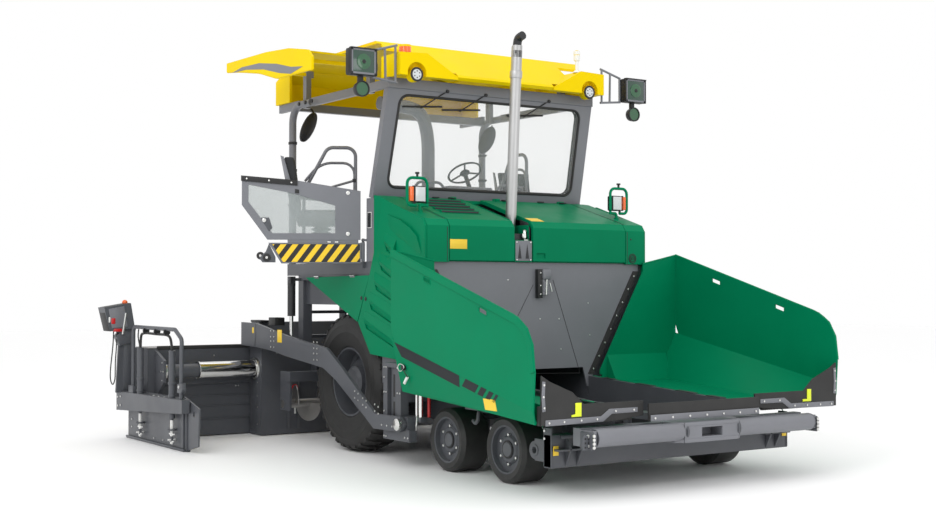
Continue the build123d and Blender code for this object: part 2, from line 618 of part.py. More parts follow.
def pods():
    """Seat pods: floor, side panel with its window, hazard plate, rails and seat, drawn stowed."""
    length, low, high = pod_panel
    hx, hy = pod_hinge
    face = hy + 18  # inner face of the side panel
    front = hx - 25
    panel = [(front, 2010), (front, 2467), (hx - 610, 2560), (hx - length, high), (hx - length, 2330), (hx - 885, 2010)]
    window = [(hx - 260, 2070), (hx - 260, 2330), (hx - 640, 2440), (hx - 1060, 2520), (hx - 1060, 2360), (hx - 840, 2070)]
    pod = plate(panel, "y", face, face + 15) - plate(window, "y", face - 1, face + 16)
    pod += plate([(front, low), (front, 1982), (hx - 876, 1982), (hx - 756, low)], "y", face, face + 15)
    pod += box(hx - 700, front - 20, face, face + 12, 1981, 2011)
    floor = [(front, hy + 19), (front, hy - 560), (hx - 700, hy - 600), (hx - 756, hy + 19)]
    pod += plate(floor, "z", pod_floor_z, pod_floor_z + 30)
    x0, x1, y = hx - 60, hx - 560, hy - 545
    pod += bent([(x0, y, 1850), (x0, y, 2930), (hx - 330, y, 2930), (x1, y, 2500), (x1, y, 1850)], 17, 90)
    barrel = rod((hx, hy, deck_z[1] + seat_gap), (hx, hy, 1990), 17) + box(hx - 30, hx, hy, face + 1, 1835, 1985)
    pod = (pod + barrel) - rod((hx, hy, 1800), (hx, hy, 2000), pod_pin_r + turn_gap)
    glass = plate(window, "y", face + 4, face + 10)
    seat = box(hx - 640, hx - 120, hy - 480, hy - 40, 2180, 2300)
    seat += plate([(hx - 640, 2250), (hx - 520, 2250), (hx - 600, 2830), (hx - 700, 2830)], "y", hy - 480, hy - 40)
    seat += box(hx - 560, hx - 220, hy - 400, hy - 120, pod_floor_z + 30 + seat_gap, 2181)
    for name, sign in SIDES.items():
        for label, shape in (("pod", pod), ("pod_glass", glass), ("seat", seat)):
            placed = shape if sign > 0 else flip(shape)
            if name == "right":
                placed = Pos(hx, -hy, 0) * Rot(0, 0, pod_open) * Pos(-hx, hy, 0) * placed
            save(f"{label}_{name}", placed)


# ================= wheels =================
def wheel_part(sections, x, outer, z):
    """Rings about a wheel's axis, from (radius, depth) sections; depth runs in from the wheel's outer face."""
    return joined(*[turned([(r, -depth) for r, depth in section], x, outer, z) for section in sections])


def wheels():
    """Rear drive wheels, and small solid-tyred front wheels on steered knuckles."""
    w = rear_tyre_width
    r = rear_tyre_r
    bead = rear_rim_r
    tyre = [(bead, 40), (bead + 120, 12), (r - 110, 0), (r - 20, 35), (r, 60), (r, w - 60), (r - 20, w - 35)]
    tyre += [(r - 110, w), (bead + 120, w - 12), (bead, w - 40)]
    both("rear_tyre", wheel_part([tyre], 0, rear_outer_y, r))
    disc = [(0, 150), (0, rear_disc), (200, rear_disc), (260, 230), (bead - 17, 230), (bead - 17, 205), (265, 205), (205, 160)]
    band = [(bead, 40), (bead, w - 40), (bead - 18, w - 40), (bead - 18, 40)]
    hub = [(0, 60), (120, 60), (150, 90), (150, 160), (0, 160)]
    both("rear_rim", wheel_part([disc, band, hub], 0, rear_outer_y, r))
    t = front_tyre_width
    r = front_tyre_r
    bead = front_rim_r
    bore = stub_r + turn_gap
    rubber = [(bead, 8), (r - 30, 0), (r, 30), (r, t - 30), (r - 30, t), (bead, t - 8)]
    band = [(bead + 1, 12), (bead + 1, t - 12), (bead - 14, t - 12), (bead - 14, 12)]
    disc = [(bore, 90), (bead - 13, 90), (bead - 13, 60), (120, 60), (100, 40), (bore, 40)]
    sleeve = [(bore, 85), (bore, 250), (80, 250), (95, 85)]
    for axle, x in front_axles.items():
        both(f"{axle}_wheel", wheel_part([rubber, band, disc, sleeve], x, front_outer_y, r))
        pin = rod((x, kingpin_y, 100), (x, kingpin_y, 475), kingpin_r)
        arm = box(x - 50, x + 50, kingpin_y - 45, kingpin_y + 45, 155, 425)
        stub = rod((x, kingpin_y + 40, r), (x, front_outer_y - 45, r), stub_r)
        collar = rod((x, kingpin_y + 40, r), (x, front_outer_y - 253, r), 60)
        both(f"{axle}_knuckle", joined(pin, arm, stub, collar))


# ================= augers and screed =================
def augers():
    """Spreading augers of half-turn blades on a shaft, one each side of the chain case."""
    shaft = rod((auger_x, 45, auger_z), (auger_x, 1222, auger_z), auger_shaft_r)
    blades = []
    for k in range(7):
        blade = pipe((0, 0, 0), (0, 12, 0), auger_r, auger_shaft_r - 5) & box(-300, 300, -50, 50, 0, 300)
        blade = Rot(0, 180 * k, 0) * Rot(0, 0, 16) * blade
        blades.append(Pos(auger_x, 170 + k * 150, auger_z) * blade)
    both("auger", joined(shaft, *blades))


def tow_arms():
    """Cranked arms from the tow pins, outside the rear wheels, to the screed."""
    upper = [(-1960, 1200), (-1600, 1195), (-920, 1090), (-30, 990), (250, 830), (880, 440), (1316, 445), (1385, 378), (1316, 312)]
    lower = [(860, 305), (700, 400), (150, 700), (-100, 800), (-900, 880), (-1200, 920), (-1560, 945), (-1960, 955)]
    arm = plate(upper + lower, "y", *arm_y)
    arm -= rod((tow_pin[0], arm_y[0] - 5, tow_pin[1]), (tow_pin[0], arm_y[1] + 5, tow_pin[1]), tow_pin_r + turn_gap)
    arm += rod((lift_x, lift_y + 34, lift_eye_z), (lift_x, arm_y[0] + 5, lift_eye_z), 32)
    save("tow_arms", pair(arm))


def screed():
    """Main screed body with its tube guides and arm mounts."""
    x0, x1 = screed_x
    body = plate([(x0, sole_z), (x1, sole_z), (x1, screed_top), (x1 - 60, 1200), (x0 + 40, 1200), (x0, 1150)], "y", -screed_half, screed_half)
    body += pair(box(x0, x1, screed_half - 5, arm_y[0], 960, 1180))
    for side in (-1, 1):
        body -= rod((tube_x, side * 20, tube_z), (tube_x, side * 1500, tube_z), outer_tube_r + slide_gap)
    save("screed", body)


def screed_sides():
    """Sliding middle tubes, and the extensions with their inner tubes and brackets."""
    inner, outer = mid_tube_y
    both("screed_tube", pipe((tube_x, inner, tube_z), (tube_x, outer, tube_z), outer_tube_r, inner_tube_r + slide_gap))
    x0, x1 = extension_x
    body = plate([(x0, sole_z), (x1, sole_z), (x1, extension_top), (x0, extension_top)], "y", *extension_y)
    body += rod((tube_x, inner_tube_y[0], tube_z), (tube_x, inner_tube_y[1], tube_z), inner_tube_r)
    body += plate([(x1 - 5, 400), (tube_x + 90, 600), (tube_x + 90, 820), (x1 - 5, extension_top - 10)], "y", *bracket_y)
    body += box(x1 - 5, x1 + 20, bracket_y[0], extension_y[1], 400, extension_top - 10)
    both("extension", body)


def end_gates():
    """End gates with their front deflectors, beams, posts, height spindles, rails and side consoles."""
    y0, y1 = gate_y
    mid = gate_tube_y
    gate = box(*gate_x, y0, y1, 2, gate_top) + box(gate_x[0], extension_x[1] - 40, extension_y[1], y0, 300, gate_top)
    x = gate_x[1]
    front = plate([(x - 40, 13), (x - 89, 520), (x + 275, 426), (x + 252, 70), (x, 13)], "y", y0 + 12, y0 + 28)
    slot = plate([(x + 130, 400), (x + 170, 390), (x + 170, 340), (x + 130, 350)], "y", y0, y1)
    gate += front - slot
    gate += plate([(gate_beam_x[0], 280), (gate_beam_x[0], 480), (gate_beam_x[1], 500), (gate_beam_x[1], 370)], "y", y1, y1 + 80)
    for x in gate_posts:
        gate += rod((x, mid, 300), (x, mid, 950), 32)
        gate += rod((x, mid, 60), (x, mid, 310), 14) + rod((x, mid, 185), (x, mid, 200), 45)
    rail = [(gate_posts[0] - 203, mid, 400), (gate_posts[0] - 203, mid, 1164), (-1010, mid, 1162), (-838, mid, 1073), (-846, mid, 450)]
    gate += bent(rail, 20, 60)
    # console on its leg at the gate's rear end
    x0, x1 = -rear_reach, gate_x[0] + 47
    gate += plate([(y0 - 10, 470), (y1 + 130, 470), (y1 + 95, 1150), (y0 + 5, 1150)], "x", x0 + 110, x0 + 140)
    box_outline = [(y0 - 10, 1140), (console_out - 60, 1115), (console_out, 1360), (y0 + 35, 1405)]
    gate += plate(box_outline, "x", x0, x1)
    both("end_gate", gate)


def lift_cylinders():
    """Screed lift cylinders between the rear columns and the tow arms."""
    x, y = lift_x, lift_y
    top, eye = lift_pin_z, lift_eye_z
    head = box(x - 35, x + 35, y - 28, y + 28, top - 60, top + 30)
    barrel = rod((x, y, top - lift_barrel), (x, y, top - 40), 40) + head
    barrel -= rod((x, y, top - lift_barrel - 1), (x, y, top - 62), 20 + turn_gap)
    barrel -= rod((x, y - 40, top), (x, y + 40, top), lift_pin_r + turn_gap)
    save("lift_barrels", pair(barrel))
    piston = rod((x, y, eye), (x, y, eye + lift_rod), 20) + box(x - 30, x + 30, y - 28, y + 28, eye - 35, eye + 35)
    piston -= rod((x, y - 40, eye), (x, y + 40, eye), lift_pin_r)
    save("lift_rods", pair(piston))


chassis()
bumper()
tow_guides()
auger_hanger()
conveyor()
rear_body()
engine()
deck()
hood()
hood_lids()
side_panels()
back_wall()
rubber_aprons()
wings()
wing_aprons()
push_bar()
dashboard()
windscreen()
canopy()
awnings()
exhaust()
lamps()
pods()
wheels()
augers()
tow_arms()
screed()
screed_sides()
end_gates()
lift_cylinders()
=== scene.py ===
import math

import bpy
from mathutils import Matrix, Vector


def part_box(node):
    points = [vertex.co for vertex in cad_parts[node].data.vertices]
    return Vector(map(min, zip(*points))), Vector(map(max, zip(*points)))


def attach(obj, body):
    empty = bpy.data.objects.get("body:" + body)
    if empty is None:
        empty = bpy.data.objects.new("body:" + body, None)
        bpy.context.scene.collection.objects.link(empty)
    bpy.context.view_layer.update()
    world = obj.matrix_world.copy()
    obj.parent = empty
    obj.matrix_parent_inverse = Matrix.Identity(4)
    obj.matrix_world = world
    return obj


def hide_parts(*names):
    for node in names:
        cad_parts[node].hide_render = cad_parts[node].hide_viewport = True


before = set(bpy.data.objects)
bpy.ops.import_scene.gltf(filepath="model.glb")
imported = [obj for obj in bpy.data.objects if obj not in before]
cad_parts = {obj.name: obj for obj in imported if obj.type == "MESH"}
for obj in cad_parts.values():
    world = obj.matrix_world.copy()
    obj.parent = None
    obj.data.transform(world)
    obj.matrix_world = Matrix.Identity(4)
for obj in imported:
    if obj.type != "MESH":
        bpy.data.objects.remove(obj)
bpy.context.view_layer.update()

bl_info = {
    "name": "Asphalt paver dressing", "version": (1, 0, 0), "blender": (4, 5, 0),
    "location": "3D View > Sidebar > Paver",
    "description": "Finishes, lamps, bolts, seats and trim for a wheeled asphalt paver",
    "category": "Object"}

low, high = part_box("rear_tyre_left")
REAR_AXLE = (low.x + high.x) / 2  # tables below count millimetres from this line
SIDES = {"right": -1, "left": 1}
REAR_HUB = 665  # height of the rear wheels' axle
SMALL_HUB = 270  # height of the small wheels' axles
SMALL_WHEELS = {"front": 2586, "second": 1733}
POD_HINGE = (370, 1244)
POD_OPEN = math.radians(62)  # the right pod stands swung out
AWNING_OUT = 680  # the right side roof stands drawn out
POD_FACE = 1277  # outer faces, measured from the machine's middle
PANEL_FACE = 1262
ARM_FACE = 1415
WING_FACE = 1623.9
GATE_MIDDLE = 2540
GATE_FACE = 2580
TUBE_X, TUBE_Z = -1850, 710  # axis of the screed's tubes
LAMP_Z, SMALL_LAMP_Z = 3568, 3330  # middles of the floodlamps and of the small lamps under them
MATERIALS = {}
GROUPS = {}


# ---------------------------------------------------------------- settings
def colour(name, words, value):
    return bpy.props.FloatVectorProperty(
        name=name, description=words, subtype="COLOR", size=3, min=0, max=1, default=value)


class PaverColours(bpy.types.PropertyGroup):
    """Colours of the paints and parts, as linear values."""

    green: colour("Green", "Body panels and hopper wings", (0.0, 0.2, 0.088))
    yellow: colour("Yellow", "Roof and awnings", (0.86, 0.62, 0.0))
    grey: colour("Grey", "Pods, posts and window frame", (0.17, 0.175, 0.195))
    dark: colour("Dark grey", "Chassis, arms and screed", (0.075, 0.08, 0.092))
    black: colour("Black", "Plastic housings and clamps", (0.012, 0.012, 0.013))
    label: colour("Label", "Blank warning plates", (0.9, 0.6, 0.03))
    reflector: colour("Reflector", "Reflectors on the rubber aprons", (0.75, 0.85, 0.02))


class PaverSizes(bpy.types.PropertyGroup):
    """Sizes that repeat over the machine."""

    bolt_radius: bpy.props.FloatProperty(
        name="Bolt head radius", description="Radius of a bolt head", default=0.012, unit="LENGTH")
    bolt_height: bpy.props.FloatProperty(
        name="Bolt head height", description="Height of a bolt head", default=0.008, unit="LENGTH")
    stripe_pitch: bpy.props.FloatProperty(
        name="Stripe pitch", description="Width of one yellow and one black stripe", default=0.11,
        unit="LENGTH")
    tread_blocks: bpy.props.IntProperty(
        name="Tread blocks", description="Blocks round each shoulder of a rear tyre", default=34, min=8,
        max=80)


def colours():
    return bpy.context.scene.paver_colours


def sizes():
    return bpy.context.scene.paver_sizes


# ---------------------------------------------------------------- modelling helpers
def at(x, y, z):
    """A point from millimetres, x from the rear axle, in the row frame."""
    return Vector((REAR_AXLE + x / 1000, y / 1000, z / 1000))


def clear():
    bpy.ops.object.select_all(action="DESELECT")


def pick(piece):
    clear()
    piece.select_set(True)
    bpy.context.view_layer.objects.active = piece


def settle():
    """Puts the active piece's place into its mesh."""
    bpy.ops.object.transform_apply(location=True, rotation=True, scale=True)


def facing_out(piece):
    """Turns all of a piece's faces outward."""
    pick(piece)
    bpy.ops.object.mode_set(mode="EDIT")
    bpy.ops.mesh.select_all(action="SELECT")
    bpy.ops.mesh.normals_make_consistent(inside=False)
    bpy.ops.object.mode_set(mode="OBJECT")
    return piece


def placed(piece, point, turn):
    """Moves a piece that was made about (0, 0, 0) to a point, turned there."""
    piece.data.transform(Matrix.Translation(at(*point)) @ turn @ Matrix.Translation(-at(0, 0, 0)))
    return piece


def applied(piece, kind, **settings):
    """Gives a piece a modifier and applies it."""
    pick(piece)
    modifier = piece.modifiers.new(kind.title(), kind)
    for key, value in settings.items():
        setattr(modifier, key, value)
    bpy.ops.object.modifier_apply(modifier=modifier.name)
    return piece


def bevelled(piece, width, segments=2):
    if width:
        applied(
            piece, "BEVEL", width=width / 1000, segments=segments, limit_method="ANGLE",
            angle_limit=math.radians(40))
    return piece


def block(low, high, bevel=3):
    """A block between two corners in millimetres, with softened edges."""
    a, b = at(*low), at(*high)
    clear()
    bpy.ops.mesh.primitive_cube_add(size=1, location=(a + b) / 2)
    piece = bpy.context.object
    piece.scale = [abs(v) for v in b - a]
    settle()
    return bevelled(piece, bevel)


def bar(start, end, radius, sides=20, bevel=0):
    """A round bar between two points."""
    a, b = at(*start), at(*end)
    line = b - a
    clear()
    bpy.ops.mesh.primitive_cylinder_add(
        vertices=sides, radius=radius / 1000, depth=line.length, location=(a + b) / 2,
        rotation=line.to_track_quat("Z", "Y").to_euler())
    piece = bpy.context.object
    settle()
    return bevelled(piece, bevel)


def ball(centre, radius):
    clear()
    bpy.ops.mesh.primitive_uv_sphere_add(
        segments=20, ring_count=12, radius=radius / 1000, location=at(*centre))
    settle()
    return bpy.context.object


def plate(outline, axis, low, high, bevel=2):
    """An outline in the plane across axis, extruded from low to high."""
    place, step = {
        "x": (lambda u, v: at(low, u, v), (1, 0, 0)), "y": (lambda u, v: at(u, low, v), (0, 1, 0)),
        "z": (lambda u, v: at(u, v, low), (0, 0, 1))}[axis]
    clear()
    bpy.ops.mesh.primitive_circle_add(vertices=len(outline), fill_type="NGON")
    piece = bpy.context.object
    for vertex, (u, v) in zip(piece.data.vertices, outline):
        vertex.co = place(u, v)
    piece.location = (0, 0, 0)
    bpy.ops.object.mode_set(mode="EDIT")
    bpy.ops.mesh.select_all(action="SELECT")
    bpy.ops.mesh.extrude_region_move(TRANSFORM_OT_translate={"value": Vector(step) * (high - low) / 1000})
    bpy.ops.object.mode_set(mode="OBJECT")
    return bevelled(facing_out(piece), bevel)


def tube(points, radius, bend=60, closed=False):
    """A round tube along straight runs with rounded corners."""
    corners = [at(*p) for p in points]
    knots = []
    count = len(corners)
    for i, here in enumerate(corners):
        if not closed and i in (0, count - 1):
            other = corners[1] if i == 0 else corners[-2]
            lean = (other - here) / 3
            knots.append((here, here - lean, here + lean) if i == 0 else (here, here + lean, here - lean))
            continue
        back, on = corners[i - 1], corners[(i + 1) % count]
        cut = min(bend / 1000, (back - here).length * 0.45, (on - here).length * 0.45)
        a = here + (back - here).normalized() * cut
        b = here + (on - here).normalized() * cut
        knots.append((a, a + (a - here) * 0.3, a + (here - a) * 0.56))
        knots.append((b, b + (here - b) * 0.56, b + (b - here) * 0.3))
    clear()
    bpy.ops.curve.primitive_bezier_curve_add()
    piece = bpy.context.object
    piece.location = (0, 0, 0)
    spline = piece.data.splines[0]
    spline.bezier_points.add(len(knots) - 2)
    for point, (here, left, right) in zip(spline.bezier_points, knots):
        point.handle_left_type = point.handle_right_type = "FREE"
        point.co, point.handle_left, point.handle_right = here, left, right
    spline.use_cyclic_u = closed
    spline.resolution_u = 5
    thicken(piece, radius)
    bpy.ops.object.convert(target="MESH")
    return bpy.context.object


def thicken(curve, radius):
    """Gives a curve a round section and closed ends."""
    curve.data.bevel_depth = radius / 1000
    curve.data.bevel_resolution = 3
    curve.data.use_fill_caps = True


def spun(profile, centre, axis="Y", steps=48):
    """A ring turned from (radius, distance along the axis) points about an axis through centre."""
    clear()
    bpy.ops.mesh.primitive_circle_add(vertices=len(profile), fill_type="NOTHING")
    piece = bpy.context.object
    for vertex, (r, d) in zip(piece.data.vertices, profile):
        vertex.co = (r / 1000, 0, d / 1000)
    bpy.ops.object.mode_set(mode="EDIT")
    bpy.ops.mesh.select_all(action="SELECT")
    bpy.ops.mesh.spin(steps=steps, angle=2 * math.pi, center=(0, 0, 0), axis=(0, 0, 1))
    bpy.ops.mesh.select_all(action="SELECT")
    bpy.ops.mesh.remove_doubles(threshold=0.00005)
    bpy.ops.mesh.normals_make_consistent(inside=False)
    bpy.ops.object.mode_set(mode="OBJECT")
    piece.rotation_euler = {"X": (0, math.pi / 2, 0), "Y": (-math.pi / 2, 0, 0), "Z": (0, 0, 0)}[axis]
    piece.location = at(*centre)
    settle()
    return piece


def painted(piece, finish_name):
    piece.data.materials.clear()
    piece.data.materials.append(MATERIALS[finish_name])
    return piece


def clad(finish_name, *pieces):
    """Gives pieces one finish, as a list."""
    return [painted(piece, finish_name) for piece in pieces]


def joined(pieces):
    clear()
    for piece in pieces:
        piece.select_set(True)
    bpy.context.view_layer.objects.active = pieces[0]
    if len(pieces) > 1:
        bpy.ops.object.join()
    return bpy.context.object


def swung(pieces, name):
    """Turns pieces made for the stowed right pod out with it; the left pod stays stowed."""
    if name == "right":
        centre = at(POD_HINGE[0], -POD_HINGE[1], 0)
        turn = Matrix.Translation(centre) @ Matrix.Rotation(POD_OPEN, 4, "Z") @ Matrix.Translation(-centre)
        for piece in pieces:
            piece.data.transform(turn)
    return pieces


def done(name, pieces, body, replaces=(), angle=35):
    """Joins the parts of a piece, smooths it and lets it ride on its body."""
    piece = joined(pieces)
    piece.name = piece.data.name = name
    pick(piece)
    bpy.ops.object.shade_smooth_by_angle(angle=math.radians(angle))
    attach(piece, body)
    if replaces:
        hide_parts(*replaces)
    return piece


def free_cord(name, points, radius, body):
    """A cord, cable or hose that hangs on a smooth line led by its route's points."""
    clear()
    bpy.ops.curve.primitive_nurbs_path_add()
    piece = bpy.context.object
    piece.name = piece.data.name = name
    spline = piece.data.splines[0]
    spline.points.add(len(points) - 5)
    for point, place in zip(spline.points, points):
        point.co = (*at(*place), 1)
    spline.order_u = 3
    spline.use_endpoint_u = True
    spline.resolution_u = 8
    thicken(piece, radius)
    painted(piece, "sheet_rubber")
    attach(piece, body)
    return piece


def bolts(points, normal, radius=None, height=None, sides=6):
    """Bolt heads, modelled once and copied to each point with their faces along normal."""
    radius = radius or sizes().bolt_radius * 1000
    height = height or sizes().bolt_height * 1000
    first = bar((0, 0, 0), tuple(Vector(normal) * height), radius, sides, bevel=min(radius, height) * 0.2)
    start = at(0, 0, 0)
    heads = []
    for point in points:
        head = first.copy()
        head.data = first.data.copy()
        bpy.context.collection.objects.link(head)
        head.data.transform(Matrix.Translation(at(*point) - start))
        heads.append(head)
    bpy.data.objects.remove(first)
    return clad("zinc", *heads)


# ---------------------------------------------------------------- finishes
def shader_group(name, inputs, outputs):
    group = bpy.data.node_groups.new(name, "ShaderNodeTree")
    for label, kind, default in inputs:
        group.interface.new_socket(
            label, in_out="INPUT", socket_type="NodeSocket" + kind).default_value = default
    for label, kind in outputs:
        group.interface.new_socket(label, in_out="OUTPUT", socket_type="NodeSocket" + kind)
    return group, group.nodes.new("NodeGroupInput").outputs, group.nodes.new("NodeGroupOutput")


def wire(tree, made, inputs):
    """Sets a node's inputs to values, or links them to other nodes' sockets."""
    for key, value in inputs.items():
        if isinstance(value, bpy.types.NodeSocket):
            tree.links.new(value, made.inputs[key])
        else:
            made.inputs[key].default_value = value
    return made


def node(tree, kind, inputs=None, **settings):
    made = tree.nodes.new("ShaderNode" + kind)
    for key, value in settings.items():
        setattr(made, key, value)
    return wire(tree, made, inputs or {})


def here_in(tree):
    """The shaded point in its object's own coordinates."""
    return node(tree, "TexCoord").outputs["Object"]


def maths(tree, operation, *values):
    return node(tree, "Math", dict(enumerate(values)), operation=operation).outputs[0]


def ramp(tree, value, ends, result=(0.0, 1.0)):
    """Maps a value from between two ends to between two results."""
    keys = ("Value", "From Min", "From Max", "To Min", "To Max")
    return node(tree, "MapRange", dict(zip(keys, (value, *ends, *result)))).outputs["Result"]


def noise(tree, scale, detail, roughness=0.5):
    settings = {"Vector": here_in(tree), "Scale": scale, "Detail": detail, "Roughness": roughness}
    return node(tree, "TexNoise", settings).outputs["Fac"]


def blend(tree, factor, first, second):
    return node(tree, "MixRGB", {"Fac": factor, "Color1": first, "Color2": second}).outputs["Color"]


def drift_group():
    """Slow changes of shade over a painted surface, darker in patches."""
    inputs = [("Color", "Color", (0.5, 0.5, 0.5, 1)), ("Scale", "Float", 2.0), ("Amount", "Float", 0.1)]
    group, start, end = shader_group("Colour Drift", inputs, [("Color", "Color")])
    patches = ramp(group, noise(group, start["Scale"], 6.0, 0.6), (0.3, 0.7), (-1.0, 1.0))
    factor = maths(group, "ADD", maths(group, "MULTIPLY", patches, start["Amount"]), 1.0)
    mixed = node(group, "HueSaturation", {"Color": start["Color"], "Value": factor})
    wire(group, end, {"Color": mixed.outputs["Color"]})
    return group


def dust_group():
    """Pale road dust that gathers low down and on faces that look up."""
    inputs = [
        ("Color", "Color", (0.5, 0.5, 0.5, 1)), ("Dust", "Color", (0.42, 0.39, 0.35, 1)),
        ("Top", "Float", 1.0), ("Amount", "Float", 0.2)]
    group, start, end = shader_group("Road Dust", inputs, [("Color", "Color")])
    height = node(group, "SeparateXYZ", {0: here_in(group)}).outputs["Z"]
    fall = ramp(group, height, (0.0, start["Top"]), (1.0, 0.0))
    spots = ramp(group, noise(group, 7.0, 8.0, 0.7), (0.38, 0.72))
    face = node(group, "NewGeometry").outputs["Normal"]
    lift = ramp(group, node(group, "SeparateXYZ", {0: face}).outputs["Z"], (0.3, 1.0), (0.25, 1.0))
    mask = fall
    for factor in (spots, lift, start["Amount"]):
        mask = maths(group, "MULTIPLY", mask, factor)
    wire(group, end, {"Color": blend(group, mask, start["Color"], start["Dust"])})
    return group


def skin_group():
    """Fine grain: a roughness that wanders and a height for the bump."""
    inputs = [("Scale", "Float", 200.0), ("Rough Low", "Float", 0.3), ("Rough High", "Float", 0.5)]
    group, start, end = shader_group("Surface Grain", inputs, [("Roughness", "Float"), ("Height", "Float")])
    rough = ramp(group, noise(group, 4.0, 5.0), (0.3, 0.7), (start["Rough Low"], start["Rough High"]))
    wire(group, end, {"Roughness": rough, "Height": noise(group, start["Scale"], 3.0)})
    return group


def soft_edge_group():
    """A normal that rounds sharp edges a little, as paint and bent sheet do."""
    group, start, end = shader_group("Rounded Edge", [("Radius", "Float", 0.004)], [("Normal", "Vector")])
    wire(
        group, end,
        {"Normal": node(group, "Bevel", {"Radius": start["Radius"]}, samples=4).outputs["Normal"]})
    return group


def new_material(name):
    material = bpy.data.materials.new(name)
    material.use_nodes = True
    MATERIALS[name] = material
    return material.node_tree, material.node_tree.nodes["Principled BSDF"]


def finish(
    name, base, rough=(0.3, 0.45), metallic=0.0, coat=0.0, grain=220.0, bump=0.02, drift=0.06, dust=0.15,
    edge=0.004, colour_node=None, shine=0.5):
    """A painted, moulded or metal surface with drift, dust, grain and softened edges."""
    tree, shader = new_material(name)
    base = colour_node(tree) if colour_node else (*base, 1)
    drifted = node(tree, "Group", node_tree=GROUPS["drift"])
    dusty = node(tree, "Group", node_tree=GROUPS["dust"])
    skin = node(tree, "Group", node_tree=GROUPS["skin"])
    wire(tree, drifted, {"Color": base, "Amount": drift})
    wire(tree, dusty, {"Color": drifted.outputs["Color"], "Amount": dust, "Top": 1.2})
    wire(tree, skin, {"Scale": grain, "Rough Low": rough[0], "Rough High": rough[1]})
    relief = node(tree, "Bump", {"Strength": bump, "Distance": 0.002, "Height": skin.outputs["Height"]})
    if edge:
        soft = node(tree, "Group", node_tree=GROUPS["edge"])
        wire(tree, soft, {"Radius": edge})
        wire(tree, relief, {"Normal": soft.outputs["Normal"]})
    wire(
        tree, shader,
        {
            "Base Color": dusty.outputs["Color"], "Metallic": metallic,
            "Roughness": skin.outputs["Roughness"], "Normal": relief.outputs["Normal"], "Coat Weight": coat,
            "Coat Roughness": 0.12, "Specular IOR Level": shine})
    return shader


def ring_colour(centre, radius, inside, outside):
    """Picks one colour inside a radius about an axis along Y, and another outside it."""
    def build(tree):
        moved = node(tree, "VectorMath", {0: here_in(tree), 1: centre}, operation="SUBTRACT").outputs[0]
        flat = node(tree, "VectorMath", {0: moved, 1: (1, 0, 1)}, operation="MULTIPLY").outputs[0]
        far = node(tree, "VectorMath", {0: flat}, operation="LENGTH").outputs["Value"]
        return blend(tree, maths(tree, "LESS_THAN", far, radius), (*outside, 1), (*inside, 1))
    return build


def stripe_colour(tree):
    """Slanting yellow and black stripes over the board's own length and height."""
    chart = node(tree, "SeparateXYZ", {0: node(tree, "TexCoord").outputs["UV"]})
    lean = maths(tree, "MULTIPLY", chart.outputs["Y"], 0.75)
    along = maths(tree, "SUBTRACT", chart.outputs["X"], lean)
    part = maths(tree, "FRACT", maths(tree, "DIVIDE", along, sizes().stripe_pitch))
    return blend(tree, maths(tree, "GREATER_THAN", part, 0.5), (0.93, 0.6, 0.02, 1), (*colours().black, 1))


def glass(name, tint, alpha):
    tree, shader = new_material(name)
    smear = noise(tree, 3.0, 5.0)
    wire(
        tree, shader,
        {
            "Base Color": (*tint, 1), "IOR": 1.45, "Coat Weight": 0.6,
            "Alpha": ramp(tree, smear, (0.0, 1.0), (alpha * 0.85, alpha * 1.15)),
            "Roughness": ramp(tree, smear, (0.0, 1.0), (0.03, 0.08))})


def lens(name, base):
    """A lamp's lens with a fine moulded pattern, unlit."""
    shader = finish(
        name, base, rough=(0.08, 0.16), coat=0.8, grain=90.0, bump=0.25, drift=0.1, dust=0.0, edge=0)
    shader.inputs["Emission Color"].default_value = (*base, 1)
    shader.inputs["Emission Strength"].default_value = 0.0


# a star stands for left and right
FINISHED_NODES = (
    ("green_gloss", "hood hood_lid_* side_panels wing_*"), ("yellow_gloss", "canopy awning_*"),
    ("grey_satin", "back_wall dashboard windscreen_frame canopy_frame pod_* push_bar push_roller_*"),
    ("dark_satin", "chassis bumper tow_guides auger_hanger rear_body deck tow_arms screed extension_*"),
    ("dark_satin", "end_gate_* rear_rim_* front_knuckle_* second_knuckle_*"),
    ("black_satin", "engine lift_barrels conveyor"), ("moulded_black", "lamps"),
    ("sheet_rubber", "rubber_aprons wing_apron_*"), ("tyre_rubber", "rear_tyre_*"),
    ("chrome_tube", "screed_tube_* lift_rods"), ("stainless", "exhaust"), ("worn_steel", "auger_*"),
    ("seat_cloth", "seat_*"), ("windscreen_glass", "windscreen"), ("smoked_glass", "pod_glass_*"))


